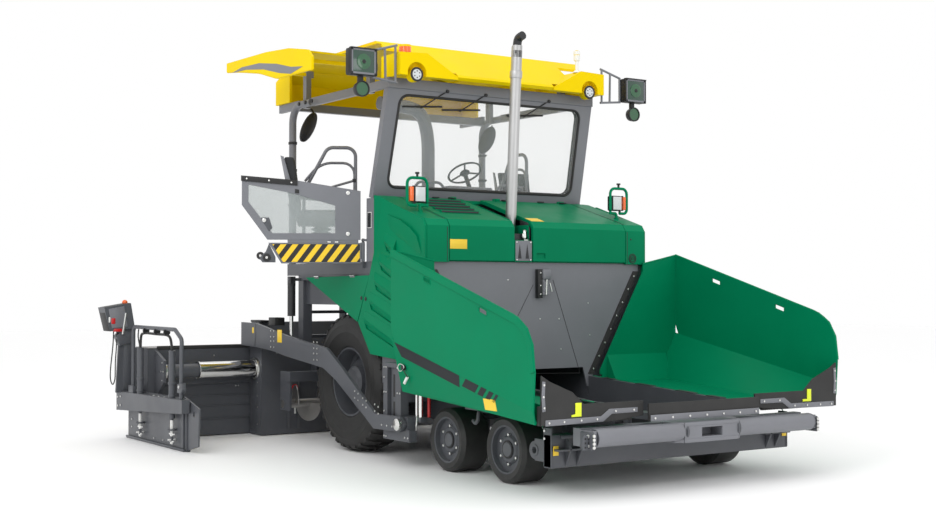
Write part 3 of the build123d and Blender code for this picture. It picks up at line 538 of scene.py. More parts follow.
class PAVER_OT_finishes(bpy.types.Operator):
    """Builds every finish and puts one on each CAD node"""

    bl_idname = "paver.finishes"
    bl_label = "Finishes"

    def execute(self, context):
        GROUPS.update(drift=drift_group(), dust=dust_group(), skin=skin_group(), edge=soft_edge_group())
        c = colours()
        finish("green_gloss", c.green, rough=(0.36, 0.46), drift=0.05, dust=0.0, shine=0.06)
        finish("yellow_gloss", c.yellow, rough=(0.36, 0.46), drift=0.03, dust=0.0, shine=0.06)
        finish("grey_satin", c.grey, rough=(0.38, 0.5), coat=0.15, dust=0.08)
        finish("dark_satin", c.dark, rough=(0.4, 0.55), coat=0.1, drift=0.1)
        finish("black_satin", (0.02, 0.021, 0.024), rough=(0.4, 0.55), drift=0.1, dust=0.1)
        finish("moulded_black", c.black, rough=(0.45, 0.6), grain=500.0, bump=0.15, drift=0.1, dust=0.05)
        finish(
            "sheet_rubber", (0.02, 0.02, 0.02), rough=(0.6, 0.75), grain=300.0, bump=0.2, drift=0.15,
            dust=0.12)
        finish(
            "tyre_rubber", (0.018, 0.018, 0.018), rough=(0.6, 0.78), grain=260.0, bump=0.25, drift=0.2,
            dust=0.1)
        finish(
            "chrome_tube", (0.75, 0.75, 0.74), rough=(0.1, 0.18), metallic=1.0, grain=60.0, bump=0.01,
            dust=0.0)
        finish("zinc", (0.72, 0.72, 0.7), rough=(0.25, 0.35), metallic=1.0, dust=0.0, edge=0.001)
        finish(
            "stainless", (0.5, 0.5, 0.5), rough=(0.38, 0.5), metallic=1.0, grain=40.0, drift=0.08, dust=0.0)
        finish(
            "worn_steel", (0.36, 0.35, 0.34), rough=(0.35, 0.6), metallic=0.9, grain=90.0, bump=0.12,
            drift=0.25, dust=0.2)
        finish("label_yellow", c.label, rough=(0.35, 0.45), drift=0.03, dust=0.0, edge=0.001)
        finish(
            "band_dark", (0.022, 0.025, 0.028), rough=(0.45, 0.55), drift=0.05, dust=0.0, edge=0.001,
            shine=0.15)
        finish("white_plastic", (0.8, 0.8, 0.78), rough=(0.3, 0.4), drift=0.03, dust=0.02)
        finish("red_paint", (0.55, 0.01, 0.012), rough=(0.3, 0.4), coat=0.3, dust=0.03)
        finish("orange_lens", (0.9, 0.14, 0.01), rough=(0.12, 0.2), coat=0.6, dust=0.0)
        finish("reflector", c.reflector, rough=(0.3, 0.4), grain=120.0, bump=0.1, dust=0.02)
        finish(
            "seat_cloth", (0.025, 0.027, 0.03), rough=(0.75, 0.9), grain=900.0, bump=0.5, drift=0.15,
            dust=0.0)
        finish("hazard", (0.9, 0.6, 0.02), rough=(0.35, 0.45), dust=0.04, colour_node=stripe_colour)
        finish("mirror_face", (0.8, 0.82, 0.84), rough=(0.02, 0.05), metallic=1.0, bump=0.0, dust=0.0)
        lens("lens_green", (0.01, 0.09, 0.03))
        lens("lens_white", (0.62, 0.65, 0.66))
        lens("lens_dark", (0.01, 0.05, 0.03))
        glass("windscreen_glass", (0.62, 0.66, 0.66), 0.14)
        glass("smoked_glass", (0.42, 0.46, 0.46), 0.5)
        for name, members in FINISHED_NODES:
            for member in members.split():
                for side in SIDES if "*" in member else ("",):
                    painted(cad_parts[member.replace("*", side)], name)
        for axle in SMALL_WHEELS:
            for side in SIDES:
                low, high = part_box(f"{axle}_wheel_{side}")
                middle = ((low.x + high.x) / 2, 0, (low.z + high.z) / 2)
                finish(
                    f"wheel_{axle}_{side}", c.dark, rough=(0.45, 0.65), grain=260.0, bump=0.15,
                    colour_node=ring_colour(middle, 0.1955, c.dark, (0.018, 0.018, 0.018)))
                painted(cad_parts[f"{axle}_wheel_{side}"], f"wheel_{axle}_{side}")
        return {"FINISHED"}


# ---------------------------------------------------------------- pieces
class PAVER_OT_tyres(bpy.types.Operator):
    """Rear tyres with shoulder blocks and sidewall rings, wheel nuts and hub caps"""

    bl_idname = "paver.tyres"
    bl_label = "Tyres"

    def execute(self, context):
        count = sizes().tread_blocks
        for name, side in SIDES.items():
            outer = side * 1220
            half = [
                (332, 44), (345, 26), (400, 12), (470, 3), (476, 0), (482, 3), (548, 0), (556, 6),
                (610, 24), (634, 48), (640, 80), (640, 187)]
            profile = half + [(r, 375 - d) for r, d in reversed(half[:-1])]
            tyre = spun([(r, -side * d) for r, d in profile], (0, outer, REAR_HUB), steps=96)
            parts = clad("tyre_rubber", tyre)
            for edge in (0, 1):
                for k in range(count):
                    turn = 2 * math.pi * (k + 0.5 * edge) / count
                    base = plate(
                        [(-26, 20), (26, 20), (34, 120), (4, 178), (-30, 178), (-22, 120)], "z", 0, 27,
                        bevel=0)
                    for vertex in base.data.vertices:
                        local = vertex.co - at(0, 0, 0)
                        depth = local.y if edge == 0 else 0.375 - local.y
                        drop = 0.0 if abs(local.y - 0.1) < 0.09 else 0.022
                        if local.y < 0.05:
                            drop = 0.03
                        radius = 0.638 + local.z - (drop if local.z > 0.01 else 0.03)
                        angle = turn + local.x / 0.66
                        vertex.co = (
                            REAR_AXLE + radius * math.sin(angle), (outer / 1000) - side * depth,
                            REAR_HUB / 1000 + radius * math.cos(angle))
                    parts += clad("tyre_rubber", facing_out(base))
            done(f"tyre_{name}", parts, f"rear_wheel_{name}", replaces=[f"rear_tyre_{name}"])
            nuts = []
            for k in range(10):
                turn = 2 * math.pi * k / 10
                nuts.append((170 * math.sin(turn), side * 1020, REAR_HUB + 170 * math.cos(turn)))
            done(
                f"wheel_nuts_{name}", bolts(nuts, (0, side, 0), 15, 26), f"rear_wheel_{name}")
            for axle, x in SMALL_WHEELS.items():
                nuts = [
                    (
                        x + 118 * math.sin(math.pi * k / 3), side * 1151,
                        SMALL_HUB + 118 * math.cos(math.pi * k / 3))
                    for k in range(6)]
                cap = spun(
                    [(0, -side * 4), (52, -side * 4), (58, side * 2), (58, side * 12), (0, side * 16)],
                    (x, side * 1170, SMALL_HUB), steps=32)
                ring = spun(
                    [(60, 0), (72, 0), (72, side * 10), (60, side * 10)], (x, side * 1169, SMALL_HUB),
                    steps=32)
                parts = bolts(nuts, (0, side, 0), 13, 22) + [
                    painted(cap, "dark_satin"), painted(ring, "moulded_black")]
                done(f"hub_{axle}_{name}", parts, f"{axle}_wheel_{name}")
        return {"FINISHED"}


def sheet_plate(outline, axis, low, high, bevel=0):
    """A flat plate with its own UV map in metres, along and up."""
    piece = plate(outline, axis, low, high, bevel)
    chart = piece.data.uv_layers.active or piece.data.uv_layers.new(name="UVMap")
    along, up = {"x": (1, 2), "y": (0, 2), "z": (0, 1)}[axis]
    for loop in piece.data.loops:
        place = piece.data.vertices[loop.vertex_index].co
        chart.data[loop.index].uv = (place[along] - REAR_AXLE * (along == 0), place[up])
    return piece


def label(low, high):
    """A blank yellow plate with softened edges."""
    return painted(block(low, high, bevel=1), "label_yellow")


class PAVER_OT_pods(bpy.types.Operator):
    """Hazard boards, rails, rollers and clamps of the swinging seat pods"""

    bl_idname = "paver.pods"
    bl_label = "Seat pods"

    def execute(self, context):
        for name, side in SIDES.items():
            body = f"pod_{name}"
            y = side * POD_FACE

            board = [(338, 1805), (338, 1968), (-470, 1968), (-372, 1805)]
            board = painted(sheet_plate(board, "y", y + side, y + 3 * side), "hazard")
            done(f"hazard_board_{name}", swung([board], name), body)

            parts = []
            frame_lines = [
                ((345, 1976), (-492, 1976)), ((345, 1797), (-378, 1797)), ((345, 1797), (345, 1976)),
                ((-378, 1797), (-486, 1976))]
            for (x0, z0), (x1, z1) in frame_lines:
                parts += clad("grey_satin", bar((x0, y + 2 * side, z0), (x1, y + 2 * side, z1), 5, 8))
            # window frame's raised lip and the clamp strip on its top
            strip = plate([(-240, 2512), (-240, 2562), (-757, 2603), (-757, 2553)], "y", y, y + 14 * side)
            parts += clad(
                "moulded_black", strip,
                plate([(-225, 2440), (-225, 2475), (-262, 2480), (-262, 2445)], "y", y, y + 8 * side))
            parts += bolts(
                [(x, y + 14 * side, 2536 - (x + 240) * 0.079) for x in (-295, -500, -705)], (0, side, 0), 9,
                5)
            parts += bolts([(228, y, 2448), (228, y, 2066), (-545, y, 2190)], (0, side, 0), 19, 9, sides=16)
            lug = plate(
                [(-470, 2120), (-500, 2215), (-575, 2215), (-560, 2180), (-500, 2085)], "y", y - 3 * side,
                y + 2 * side)
            parts += clad("dark_satin", lug)
            for x, z in ((110, 1990), (40, 1990)):
                parts += clad("zinc", bar((x, y, z), (x + 30, y + 8 * side, z), 8, 10))
            # rollers at the free end, with their arm
            parts += clad(
                "dark_satin",
                plate(
                    [(-500, 1975), (-440, 1850), (-440, 1800), (-560, 1800), (-590, 1840), (-530, 1900)],
                    "y", y - 13 * side, y - 3 * side))
            for x, z, depth in ((-520, 1845, 0), (-580, 1862, -34)):
                parts += clad(
                    "moulded_black",
                    bar(
                        (x, y + depth * side - 14 * side, z), (x, y + depth * side + 14 * side, z), 36, 24,
                        bevel=4))
                parts += clad(
                    "zinc",
                    bar((x, y + depth * side + 13 * side, z), (x, y + depth * side + 18 * side, z), 12, 12))
            done(f"pod_trim_{name}", swung(parts, name), body)

            inner = side * 700
            loop = tube(
                [(300, inner, 1862), (300, inner, 2780), (-30, inner, 2780), (-180, inner, 2600)], 13, 110)
            slope = tube([(300, inner, 2610), (60, inner, 2540), (-150, inner, 2440)], 12, 60)
            clamps = [bar((300, inner, z - 16), (300, inner, z + 16), 21, 16) for z in (2000, 2330, 2610)]
            parts = clad("grey_satin", loop, slope) + clad("moulded_black", *clamps)
            done(f"pod_rails_{name}", swung(parts, name), body)
        return {"FINISHED"}


def cushion(low, high, swell=12):
    """A padded block whose sides are drawn in and whose faces swell, by cloth pressure."""
    piece = applied(block(low, high, bevel=0), "REMESH", mode="VOXEL", voxel_size=0.012)
    start = [vertex.co.copy() for vertex in piece.data.vertices]
    pick(piece)
    bpy.ops.object.modifier_add(type="CLOTH")
    cloth = piece.modifiers["Cloth"]
    cloth.settings.use_pressure = True
    cloth.settings.uniform_pressure_force = 4.0
    cloth.settings.effector_weights.gravity = 0.0
    for step in range(1, 16):
        bpy.context.scene.frame_set(step)
    bpy.ops.object.modifier_apply(modifier="Cloth")
    bpy.context.scene.frame_set(1)
    for vertex, before in zip(piece.data.vertices, start):
        moved = vertex.co - before
        if moved.length > swell / 1000:
            vertex.co = before + moved.normalized() * swell / 1000
    return painted(applied(piece, "SMOOTH", iterations=6), "seat_cloth")


class PAVER_OT_seats(bpy.types.Operator):
    """Padded seats with grey shells and armrests, on posts with rubber bellows"""

    bl_idname = "paver.seats"
    bl_label = "Seats"

    def execute(self, context):
        for name, side in SIDES.items():
            y0, y1 = side * 790, side * 1190
            base = cushion((-255, y0, 2195), (210, y1, 2285))
            back = cushion((-60, y0 + side * 10, 2300), (20, y1 - side * 10, 2800))
            for vertex in back.data.vertices:
                vertex.co.x += -0.235 - (vertex.co.z - 2.3) * 0.14
            for label_name, pad in (("seat_base", base), ("seat_back", back)):
                done(f"{label_name}_{name}", swung([pad], name), f"pod_{name}", angle=60)
            shell = []
            for y in (y0 - side * 14, y1 + side * 4):
                outline = [
                    (-250, 2190), (190, 2190), (210, 2230), (190, 2262), (-225, 2285), (-370, 2790),
                    (-400, 2800), (-300, 2290)]
                shell += clad("grey_satin", plate(outline, "y", y, y + side * 10))
            for y in (y0 - side * 40, y1 + side * 14):
                shell += clad(
                    "moulded_black",
                    plate(
                        [(-290, 2420), (60, 2400), (75, 2425), (60, 2450), (-300, 2470)], "y", y,
                        y + side * 26, bevel=8))
            shell += clad(
                "dark_satin", block((-230, y0 + side * 40, 1861), (180, y1 - side * 40, 1900)),
                bar((-20, side * 990, 1900), (-20, side * 990, 2160), 60))
            shell += clad("moulded_black", block((-240, y0, 2155), (200, y1, 2192)))
            for z in range(1940, 2150, 40):
                shell += clad(
                    "sheet_rubber",
                    spun([(58, 0), (95, 16), (95, 24), (58, 40)], (-20, side * 990, z), axis="Z", steps=24))
            done(
                f"seat_frame_{name}", swung(shell, name), f"pod_{name}",
                replaces=[f"seat_{name}"])
        return {"FINISHED"}


class PAVER_OT_lamps(bpy.types.Operator):
    """Headlamps in green tube guards, floodlamps on open brackets and the roof's round lamps"""

    bl_idname = "paver.lamps"
    bl_label = "Lamps"

    def execute(self, context):
        head, flood, green, clear_lens = [], [], [], []
        for side in SIDES.values():
            foot, inner, outer = side * 1136, side * 1060, side * 1270
            head += clad(
                "green_gloss",
                tube(
                    [
                        (1200, inner, 2285), (1200, inner, 2540), (1200, outer, 2540), (1200, outer, 2296),
                        (1200, side * 1176, 2296)], 14, 55),
                tube(
                    [(1200, foot, 2252), (1200, foot, 2296), (1200, inner, 2296), (1200, inner, 2330)], 14,
                    40))
            head += clad(
                "moulded_black", bar((1200, side * 1165, 2552), (1200, side * 1165, 2580), 11, 16),
                bar((1200, side * 1165, 2576), (1200, side * 1165, 2592), 20, 20, bevel=3),
                block((1128, side * 1078, 2322), (1212, side * 1200, 2470), bevel=14))
            head += clad(
                "orange_lens", block((1135, side * 1201, 2330), (1216, side * 1250, 2462), bevel=10))
            head += clad(
                "moulded_black", block((1190, side * 1205, 2322), (1219, side * 1211, 2470), bevel=2))
            clear_lens += clad(
                "lens_white", block((1211, side * 1088, 2332), (1216, side * 1191, 2460), bevel=2))
            head += clad("moulded_black", bar((1190, side * 1187, 2290), (1190, side * 1187, 2330), 12, 12))
            # floodlamp with its visor, on a bracket of flat bars
            y0, y1 = side * 1450, side * 1720
            flood += clad("moulded_black", block((880, y0, 3447), (975, y1, 3688), bevel=16))
            for low, up in (
                ((950, y0, 3680), (992, y1, 3690)), ((950, y0, 3447), (985, y0 + side * 10, 3688)),
                ((950, y1 - side * 10, 3447), (985, y1, 3688))):
                flood += clad("moulded_black", block(low, up))
            rim = [
                ((972, y0 + side * 10, 3455), (980, y1 - side * 10, 3473)),
                ((972, y0 + side * 10, 3664), (980, y1 - side * 10, 3682)),
                ((972, y0 + side * 10, 3455), (980, y0 + side * 28, 3682)),
                ((972, y1 - side * 28, 3455), (980, y1 - side * 10, 3682))]
            flood += clad("grey_satin", *[block(a, b, bevel=2) for a, b in rim])
            flood += clad(
                "lens_dark", block((974, y0 + side * 28, 3473), (977, y1 - side * 28, 3664), bevel=1))
            centre = side * 1585
            green += clad(
                "lens_green",
                spun(
                    [(0, 38), (68, 38), (70, 41), (62, 44), (22, 42), (20, 44), (0, 44)],
                    (940, centre, LAMP_Z), axis="X", steps=32))
            flood += clad(
                "moulded_black", bar((980, centre, LAMP_Z), (986, centre, LAMP_Z), 18, 16),
                spun(
                    [(0, 0), (40, 0), (62, 25), (72, 70), (72, 92), (64, 92), (60, 80), (0, 76)],
                    (868, centre, SMALL_LAMP_Z), axis="X", steps=32))
            green += clad(
                "lens_green", bar((946, centre, SMALL_LAMP_Z), (951, centre, SMALL_LAMP_Z), 60, 28))
            flood += clad("moulded_black", block((900, side * 1560, 3385), (930, side * 1610, 3450)))
            edge = side * 1190
            bars = [
                ((edge, 3765), (y0, 3690)), ((edge, 3425), (y0, 3450)),
                ((side * 1208, 3760), (side * 1208, 3425)), ((side * 1318, 3730), (side * 1312, 3440)),
                ((y0 - side * 8, 3690), (y0 - side * 8, 3450))]
            for (ya, za), (yb, zb) in bars:
                flood += clad("grey_satin", bar((892, ya, za), (892, yb, zb), 11, 12))
        done("headlamps", head, "tractor")
        done("floodlamps", flood, "tractor", replaces=["lamps"])
        done("green_lenses", green, "tractor")
        done("headlamp_lenses", clear_lens, "tractor")

        # round lamps under the shoulders, the orange warning lamp and the aerial
        parts = []
        for side in SIDES.values():
            y = side * 1010
            parts += clad(
                "lens_white",
                spun([(0, 0), (46, 0), (50, 6), (46, 12), (0, 14)], (936, y, 3510), axis="X", steps=36))
            dots = [
                (950, y + 30 * math.sin(k * math.pi / 3), 3510 + 30 * math.cos(k * math.pi / 3))
                for k in range(6)]
            parts += clad(
                "moulded_black",
                *[bar((d[0] - 2, d[1], d[2]), (d[0] + 1, d[1], d[2]), 6, 10) for d in dots])
            parts += clad(
                "moulded_black",
                spun([(50, 0), (66, 4), (66, 16), (50, 18)], (930, y, 3510), axis="X", steps=36))
        done("round_lamps", parts, "tractor")
        beacon = painted(
            spun([(0, 0), (56, 0), (56, 60), (44, 76), (0, 82)], (850, -1080, 3706), axis="Z", steps=32),
            "orange_lens")
        base = painted(bar((850, -1080, 3695), (850, -1080, 3712), 62, 32, bevel=3), "moulded_black")
        done("warning_lamp", [beacon, base], "tractor")
        aerial = spun(
            [
                (0, 0), (40, 0), (34, 14), (16, 26), (17, 110), (31, 126), (33, 170), (28, 176), (33, 182),
                (32, 215), (0, 222)], (880, 900, 3702), axis="Z", steps=28)
        done("aerial", [painted(aerial, "white_plastic")], "tractor")
        return {"FINISHED"}


class PAVER_OT_roof(bpy.types.Operator):
    """Crescent bands and edge rails of the awnings, posts' clamps and mirrors"""

    bl_idname = "paver.roof"
    bl_label = "Roof"

    def execute(self, context):
        for name, side in SIDES.items():
            outer = side * (1222 + (AWNING_OUT if name == "right" else 0))
            band = [
                (-1120, 3716), (-800, 3705), (-400, 3655), (-60, 3575), (180, 3536), (420, 3572),
                (180, 3600), (-120, 3670), (-500, 3728), (-900, 3742)]
            parts = clad("grey_satin", plate(band, "y", outer, outer + side * 2, bevel=0))
            edge = [(-1258, 3742), (-1015, 3715), (-507, 3636), (-114, 3532), (459, 3528), (588, 3526)]
            lip = tube([(x, outer - side * 12, z) for x, z in edge], 9, 60)
            parts += clad("yellow_gloss", lip)
            done(f"awning_band_{name}", parts, f"awning_{name}")
        parts = []
        for side in SIDES.values():
            y = side * 1190
            for z in (2060, 2420, 2780, 3060):
                parts += clad(
                    "moulded_black", bar((-1200, y, z - 13), (-1200, y, z + 13), 45, 24, bevel=2),
                    block((-1180, y - 12, z - 9), (-1120, y + 12, z + 9)))
            for x in (-980, -840, -700):
                parts += clad(
                    "moulded_black", bar((x, y + side * 36, 3440), (x, y + side * 48, 3440), 20, 16))
        done("post_clamps", parts, "tractor")
        for name, side in SIDES.items():
            casing = spun(
                [(0, 0), (92, 0), (100, 8), (100, 26), (70, 44), (0, 50)], (0, 0, 0), axis="X", steps=36)
            face = bar((-3, 0, 0), (1, 0, 0), 88, 32)
            arm = tube([(20, 0, 60), (20, 0, 150), (-70, 0, 210)], 11, 40)
            pieces = clad(
                "moulded_black", casing) + clad("mirror_face", face) + clad("moulded_black", arm)
            lean = Matrix.Rotation(math.radians(-28), 4, "X") @ Matrix.Rotation(
                math.radians(side * -20), 4, "Z")
            oval = Matrix.Diagonal((1, 0.8, 1.7, 1))
            for piece, stretch in zip(pieces, (oval, oval, Matrix.Identity(4))):
                placed(piece, (-1010, side * 1120, 3215), lean @ stretch)
            done(f"mirror_{name}", pieces, "tractor")
        return {"FINISHED"}


def on_screen(y, z, off=0):
    """A point on the leaning windscreen, off its middle plane towards the front."""
    foot_x, foot_z, lean = 477, 2402, math.atan2(202, 865)
    sine, cosine, rise = math.sin(lean), math.cos(lean), z - foot_z
    return (foot_x + rise * sine + off * cosine, y, foot_z + rise * cosine - off * sine)


class PAVER_OT_windscreen(bpy.types.Operator):
    """Rubber gasket, wipers, and the duct, rail and panels seen through the pane"""

    bl_idname = "paver.windscreen"
    bl_label = "Windscreen"

    def execute(self, context):
        corners = [(-1085, 2515), (1085, 2515), (1057, 3380), (-1057, 3380)]
        gasket = tube([on_screen(y, z, 34) for y, z in corners], 13, 90, closed=True)
        back = tube([on_screen(y, z, -34) for y, z in corners], 9, 90, closed=True)
        parts = [painted(gasket, "sheet_rubber"), painted(back, "sheet_rubber")]
        for y, reach in ((-560, -420), (-120, -430), (640, -440)):
            root, tip = on_screen(y, 3450, 44), on_screen(y + reach * 0.62, 3270, 30)
            parts += clad("moulded_black", bar(root, tip, 6, 10))
            blade = [
                on_screen(y + reach * 0.62 - 190, 3285 - 14, 20),
                on_screen(y + reach * 0.62 + 240, 3285 + 16, 20)]
            parts += clad(
                "moulded_black", bar(blade[0], blade[1], 9, 8),
                bar(on_screen(y, 3450, 36), on_screen(y, 3450, 60), 16, 16))
        done("gasket_and_wipers", parts, "tractor")

        inside = []
        duct = tube(
            [(180, -960, 3340), (180, -700, 3330), (120, -440, 3300), (60, -330, 3060), (60, -330, 2430)],
            66, 190)
        inside += clad("grey_satin", duct)
        for low, up in (
            ((240, -300, 2402), (400, 220, 2560)), ((200, -650, 2402), (330, -400, 2520)),
            ((170, 300, 2402), (390, 640, 2500))):
            inside += clad("grey_satin", block(low, up, bevel=18))
        for y in (-650, 310):
            inside += clad(
                "grey_satin",
                tube([(330, y, 2400), (330, y, 2590), (330, y + 330, 2590), (330, y + 330, 2400)], 14, 80))
        inside += clad("moulded_black", bar((300, 10, 2540), (210, 10, 2700), 22, 20))
        wheel = spun([(168, -12), (180, 0), (168, 12), (156, 0)], (0, 0, 0), axis="Z", steps=40)
        hub = spun([(0, -14), (44, -14), (52, 0), (40, 14), (0, 18)], (0, 0, 0), axis="Z", steps=28)
        spokes = [
            bar((0, 0, 0), (162 * math.cos(a), 162 * math.sin(a), 0), 9, 8)
            for a in (math.pi / 2, math.pi * 7 / 6, math.pi * 11 / 6)]
        tilt = Matrix.Rotation(math.radians(-32), 4, "Y")
        inside += clad(
            "moulded_black", *[placed(piece, (205, 10, 2712), tilt) for piece in (wheel, hub, *spokes)])
        done("console_and_duct", inside, "tractor")
        return {"FINISHED"}


def lid_z(x):
    """Height of the hood lids' sloping top."""
    return 2412 - (x - 632) * 0.297


class PAVER_OT_hood(bpy.types.Operator):
    """Blank labels, locks, louvres' edges with painted shade in their slots, and the pipework in the
    exhaust's recess, with painted rib shade on its bracket
    """

    bl_idname = "paver.hood"
    bl_label = "Hood"

    def execute(self, context):
        parts = [label((1485, -1004, 1907), (1487, -824, 1991))]
        done("hood_label", parts, "hood_lid_right")
        slant = [
            (1318, lid_z(1318) + 0.5), (1428, lid_z(1428) + 0.5), (1428, lid_z(1428) + 2.5),
            (1318, lid_z(1318) + 2.5)]
        parts = clad("label_yellow", plate(slant, "y", -70, 75, bevel=0))
        done("hood_top_label", parts, "hood_lid_left")
        for name, ys in (("right", (-860, -620, -440)), ("left", (180, 620, 900))):
            parts = []
            for y in ys:
                parts += clad(
                    "moulded_black",
                    block((636, y - 34, lid_z(636) + 1), (668, y + 34, lid_z(636) + 12), bevel=3))
            edge = -310 if name == "right" else -88
            lip = [(700, lid_z(700) + 1), (1436, lid_z(1436) + 1), (1481, 2114), (1481, 1812)]
            parts += clad("green_gloss", tube([(x, edge, z) for x, z in lip], 5, 30))
            done(f"lid_trim_{name}", parts, f"hood_lid_{name}")
        parts = []
        for k in range(5):
            x = 760 + k * 110
            rise = [(x - 50, lid_z(x - 50) + 1), (x, lid_z(x) + 1), (x, lid_z(x) + 20)]
            parts += clad("green_gloss", plate(rise, "y", -910, -400 - 25 * k, bevel=1))
            # a flat dark strip in each louvre's slot is painted shade, not a part
            slot_shade = [(x, lid_z(x) + 1), (x + 2, lid_z(x + 2) + 1), (x + 2, lid_z(x) + 16), (x, lid_z(x) + 16)]
            parts += clad("black_satin", plate(slot_shade, "y", -905, -405 - 25 * k, bevel=0))
        done("louvre_blades_and_shade", parts, "hood_lid_right")
        # round grille and lock on the left cheek, and seams of the cheeks
        parts = []
        for r0, r1 in ((40, 47), (26, 33), (8, 15)):
            parts += clad(
                "moulded_black",
                spun([(r0, 0), (r1, 0), (r1, 5), (r0, 5)], (1484, 1095, 1846), axis="X", steps=36))
        for y in (-1030, 1030):
            parts += clad("moulded_black", block((1480, y - 3, 1795), (1486, y + 3, 2100), bevel=0))
            seam = [
                (640, lid_z(640) - 4), (1436, lid_z(1436) - 4), (1436, lid_z(1436) + 1),
                (640, lid_z(640) + 1)]
            parts += clad("moulded_black", plate(seam, "y", y - 3, y + 3, bevel=0))
        parts += clad("moulded_black", bar((1484, 1075, 2030), (1489, 1075, 2030), 8, 12))
        done("cheek_details", parts, "tractor")
        # the exhaust's recess
        parts = clad(
            "black_satin",
            plate([(1300, 2010), (1452, 2010), (1452, 2100), (1420, 2160), (1300, 2195)], "y", -112, -104),
            block((1330, -296, 1945), (1400, -104, 2060), bevel=8))
        parts += clad(
            "zinc", tube([(1400, -120, 2080), (1425, -150, 2085), (1425, -150, 2020)], 17, 30),
            bar((1418, -150, 2042), (1432, -150, 2042), 30, 6, bevel=2),
            bar((1440, -172, 1998), (1440, -128, 1998), 13, 12))
        parts += clad("grey_satin", block((1479, -292, 1808), (1482, -108, 1992), bevel=1))
        # flat black triangles on the grey bracket are painted shade standing in for its ribs
        for y in (-245, -160):
            rib_shade = [(y - 20, 1830), (y + 20, 1830), (y, 1965)]
            parts += clad("black_satin", plate(rib_shade, "x", 1482, 1483, bevel=0))
        parts += bolts([(1482, y, z) for y in (-278, -122) for z in (1818, 1978)], (1, 0, 0), 8, 5)
        done("exhaust_recess", parts, "tractor")
        mouth = spun(
            [(47, 0), (56, 0), (58, 14), (58, 60), (56, 66), (49, 66), (47, 60)], (0, 0, 0), axis="Z",
            steps=36)
        outlet = spun([(44, 0), (50, 0), (50, 62), (44, 62)], (0, 0, 0), axis="Z", steps=36)
        head = Vector((1380, -200, 3790))
        line = (head - Vector((1270, -200, 2000))).normalized()
        for piece, back in ((mouth, 300), (outlet, 110)):
            placed(piece, head - line * back, line.to_track_quat("Z", "Y").to_matrix().to_4x4())
        bend = tube(
            [(1368, -200, 3690), (1380, -200, 3790), (1398, -200, 3856), (1470, -200, 3870)], 40, 60)
        parts = clad("stainless", mouth) + clad("black_satin", outlet, bend)
        done("exhaust_collar", parts, "tractor")
        return {"FINISHED"}


class PAVER_OT_wall(bpy.types.Operator):
    """Latch, cover seams and screws of the hopper's back wall, and the bolts of its seals"""

    bl_idname = "paver.wall"
    bl_label = "Back wall"

    def execute(self, context):
        parts = clad("moulded_black", block((1455, -50, 1470), (1502, 2, 1735), bevel=4))
        parts += clad("grey_satin", block((1455, -2, 1640), (1515, 95, 1735), bevel=14))
        parts += clad("moulded_black", block((1456, 20, 1560), (1490, 85, 1650), bevel=6))
        parts += clad(
            "zinc", bar((1502, 40, 1500), (1506, 44, 1640), 9, 12),
            bar((1500, 108, 1530), (1500, 84, 1610), 7, 12))
        parts += bolts([(1502, -24, z) for z in (1505, 1585, 1700)], (1, 0, 0), 8, 5)
        for ends in (
            ((-76, 1590), (-258, 1290)), ((-258, 1290), (-430, 1000)), ((155, 1637), (472, 766)),
            ((472, 766), (-440, 790))):
            (ya, za), (yb, zb) = ends
            parts += clad("moulded_black", bar((1456, ya, za), (1456, yb, zb), 2.2, 6))
        screws = ((-358, 1635), (570, 1421), (4, 1278), (224, 1275), (247, 996), (-560, 1421), (590, 1120))
        parts += bolts([(1455.5, y, z) for y, z in screws], (1, 0, 0), 7, 3)
        for side in SIDES.values():
            line = [
                (1157 - 558 * t, 1725 - 970 * t)
                for t in (0.05, 0.18, 0.31, 0.44, 0.57, 0.70, 0.83, 0.95)]
            parts += bolts([(1467, side * y, z) for y, z in line], (1, 0, 0), 10, 6)
            brace = [
                (side * (1157 - 558 * t) + side * 14 * s, 1725 - 970 * t)
                for t, s in ((0.36, 1), (0.56, 1), (0.56, -1), (0.36, -1))]
            parts += clad("black_satin", plate(brace, "x", 1466, 1471))
        parts += clad("grey_satin", block((1440, -1185, 1786), (1456, 1185, 1796), bevel=2))
        done("wall_details", parts, "tractor")
        return {"FINISHED"}


def crease_z(x):
    """Height of the line below which the wings' outer wall leans in."""
    return 1107 - (x - 1571) * 452 / 1955


def on_wing(outline, side, thick=1.6, bevel=0):
    """A thin plate laid on a wing's outer face, from its (x, z) corners."""
    piece = plate(outline, "y", 0, thick, bevel)
    for vertex in piece.data.vertices:
        x, z = (vertex.co.x - REAR_AXLE) * 1000, vertex.co.z * 1000
        lean = max(0, crease_z(x) - z) * 0.236
        vertex.co.y = side * (WING_FACE + vertex.co.y * 1000 - lean) / 1000
    return facing_out(piece)


def hinge_z(x):
    """Height of the covers over the wings' hinge line, which falls to the front."""
    return 732 - 0.055 * (x - 1515)


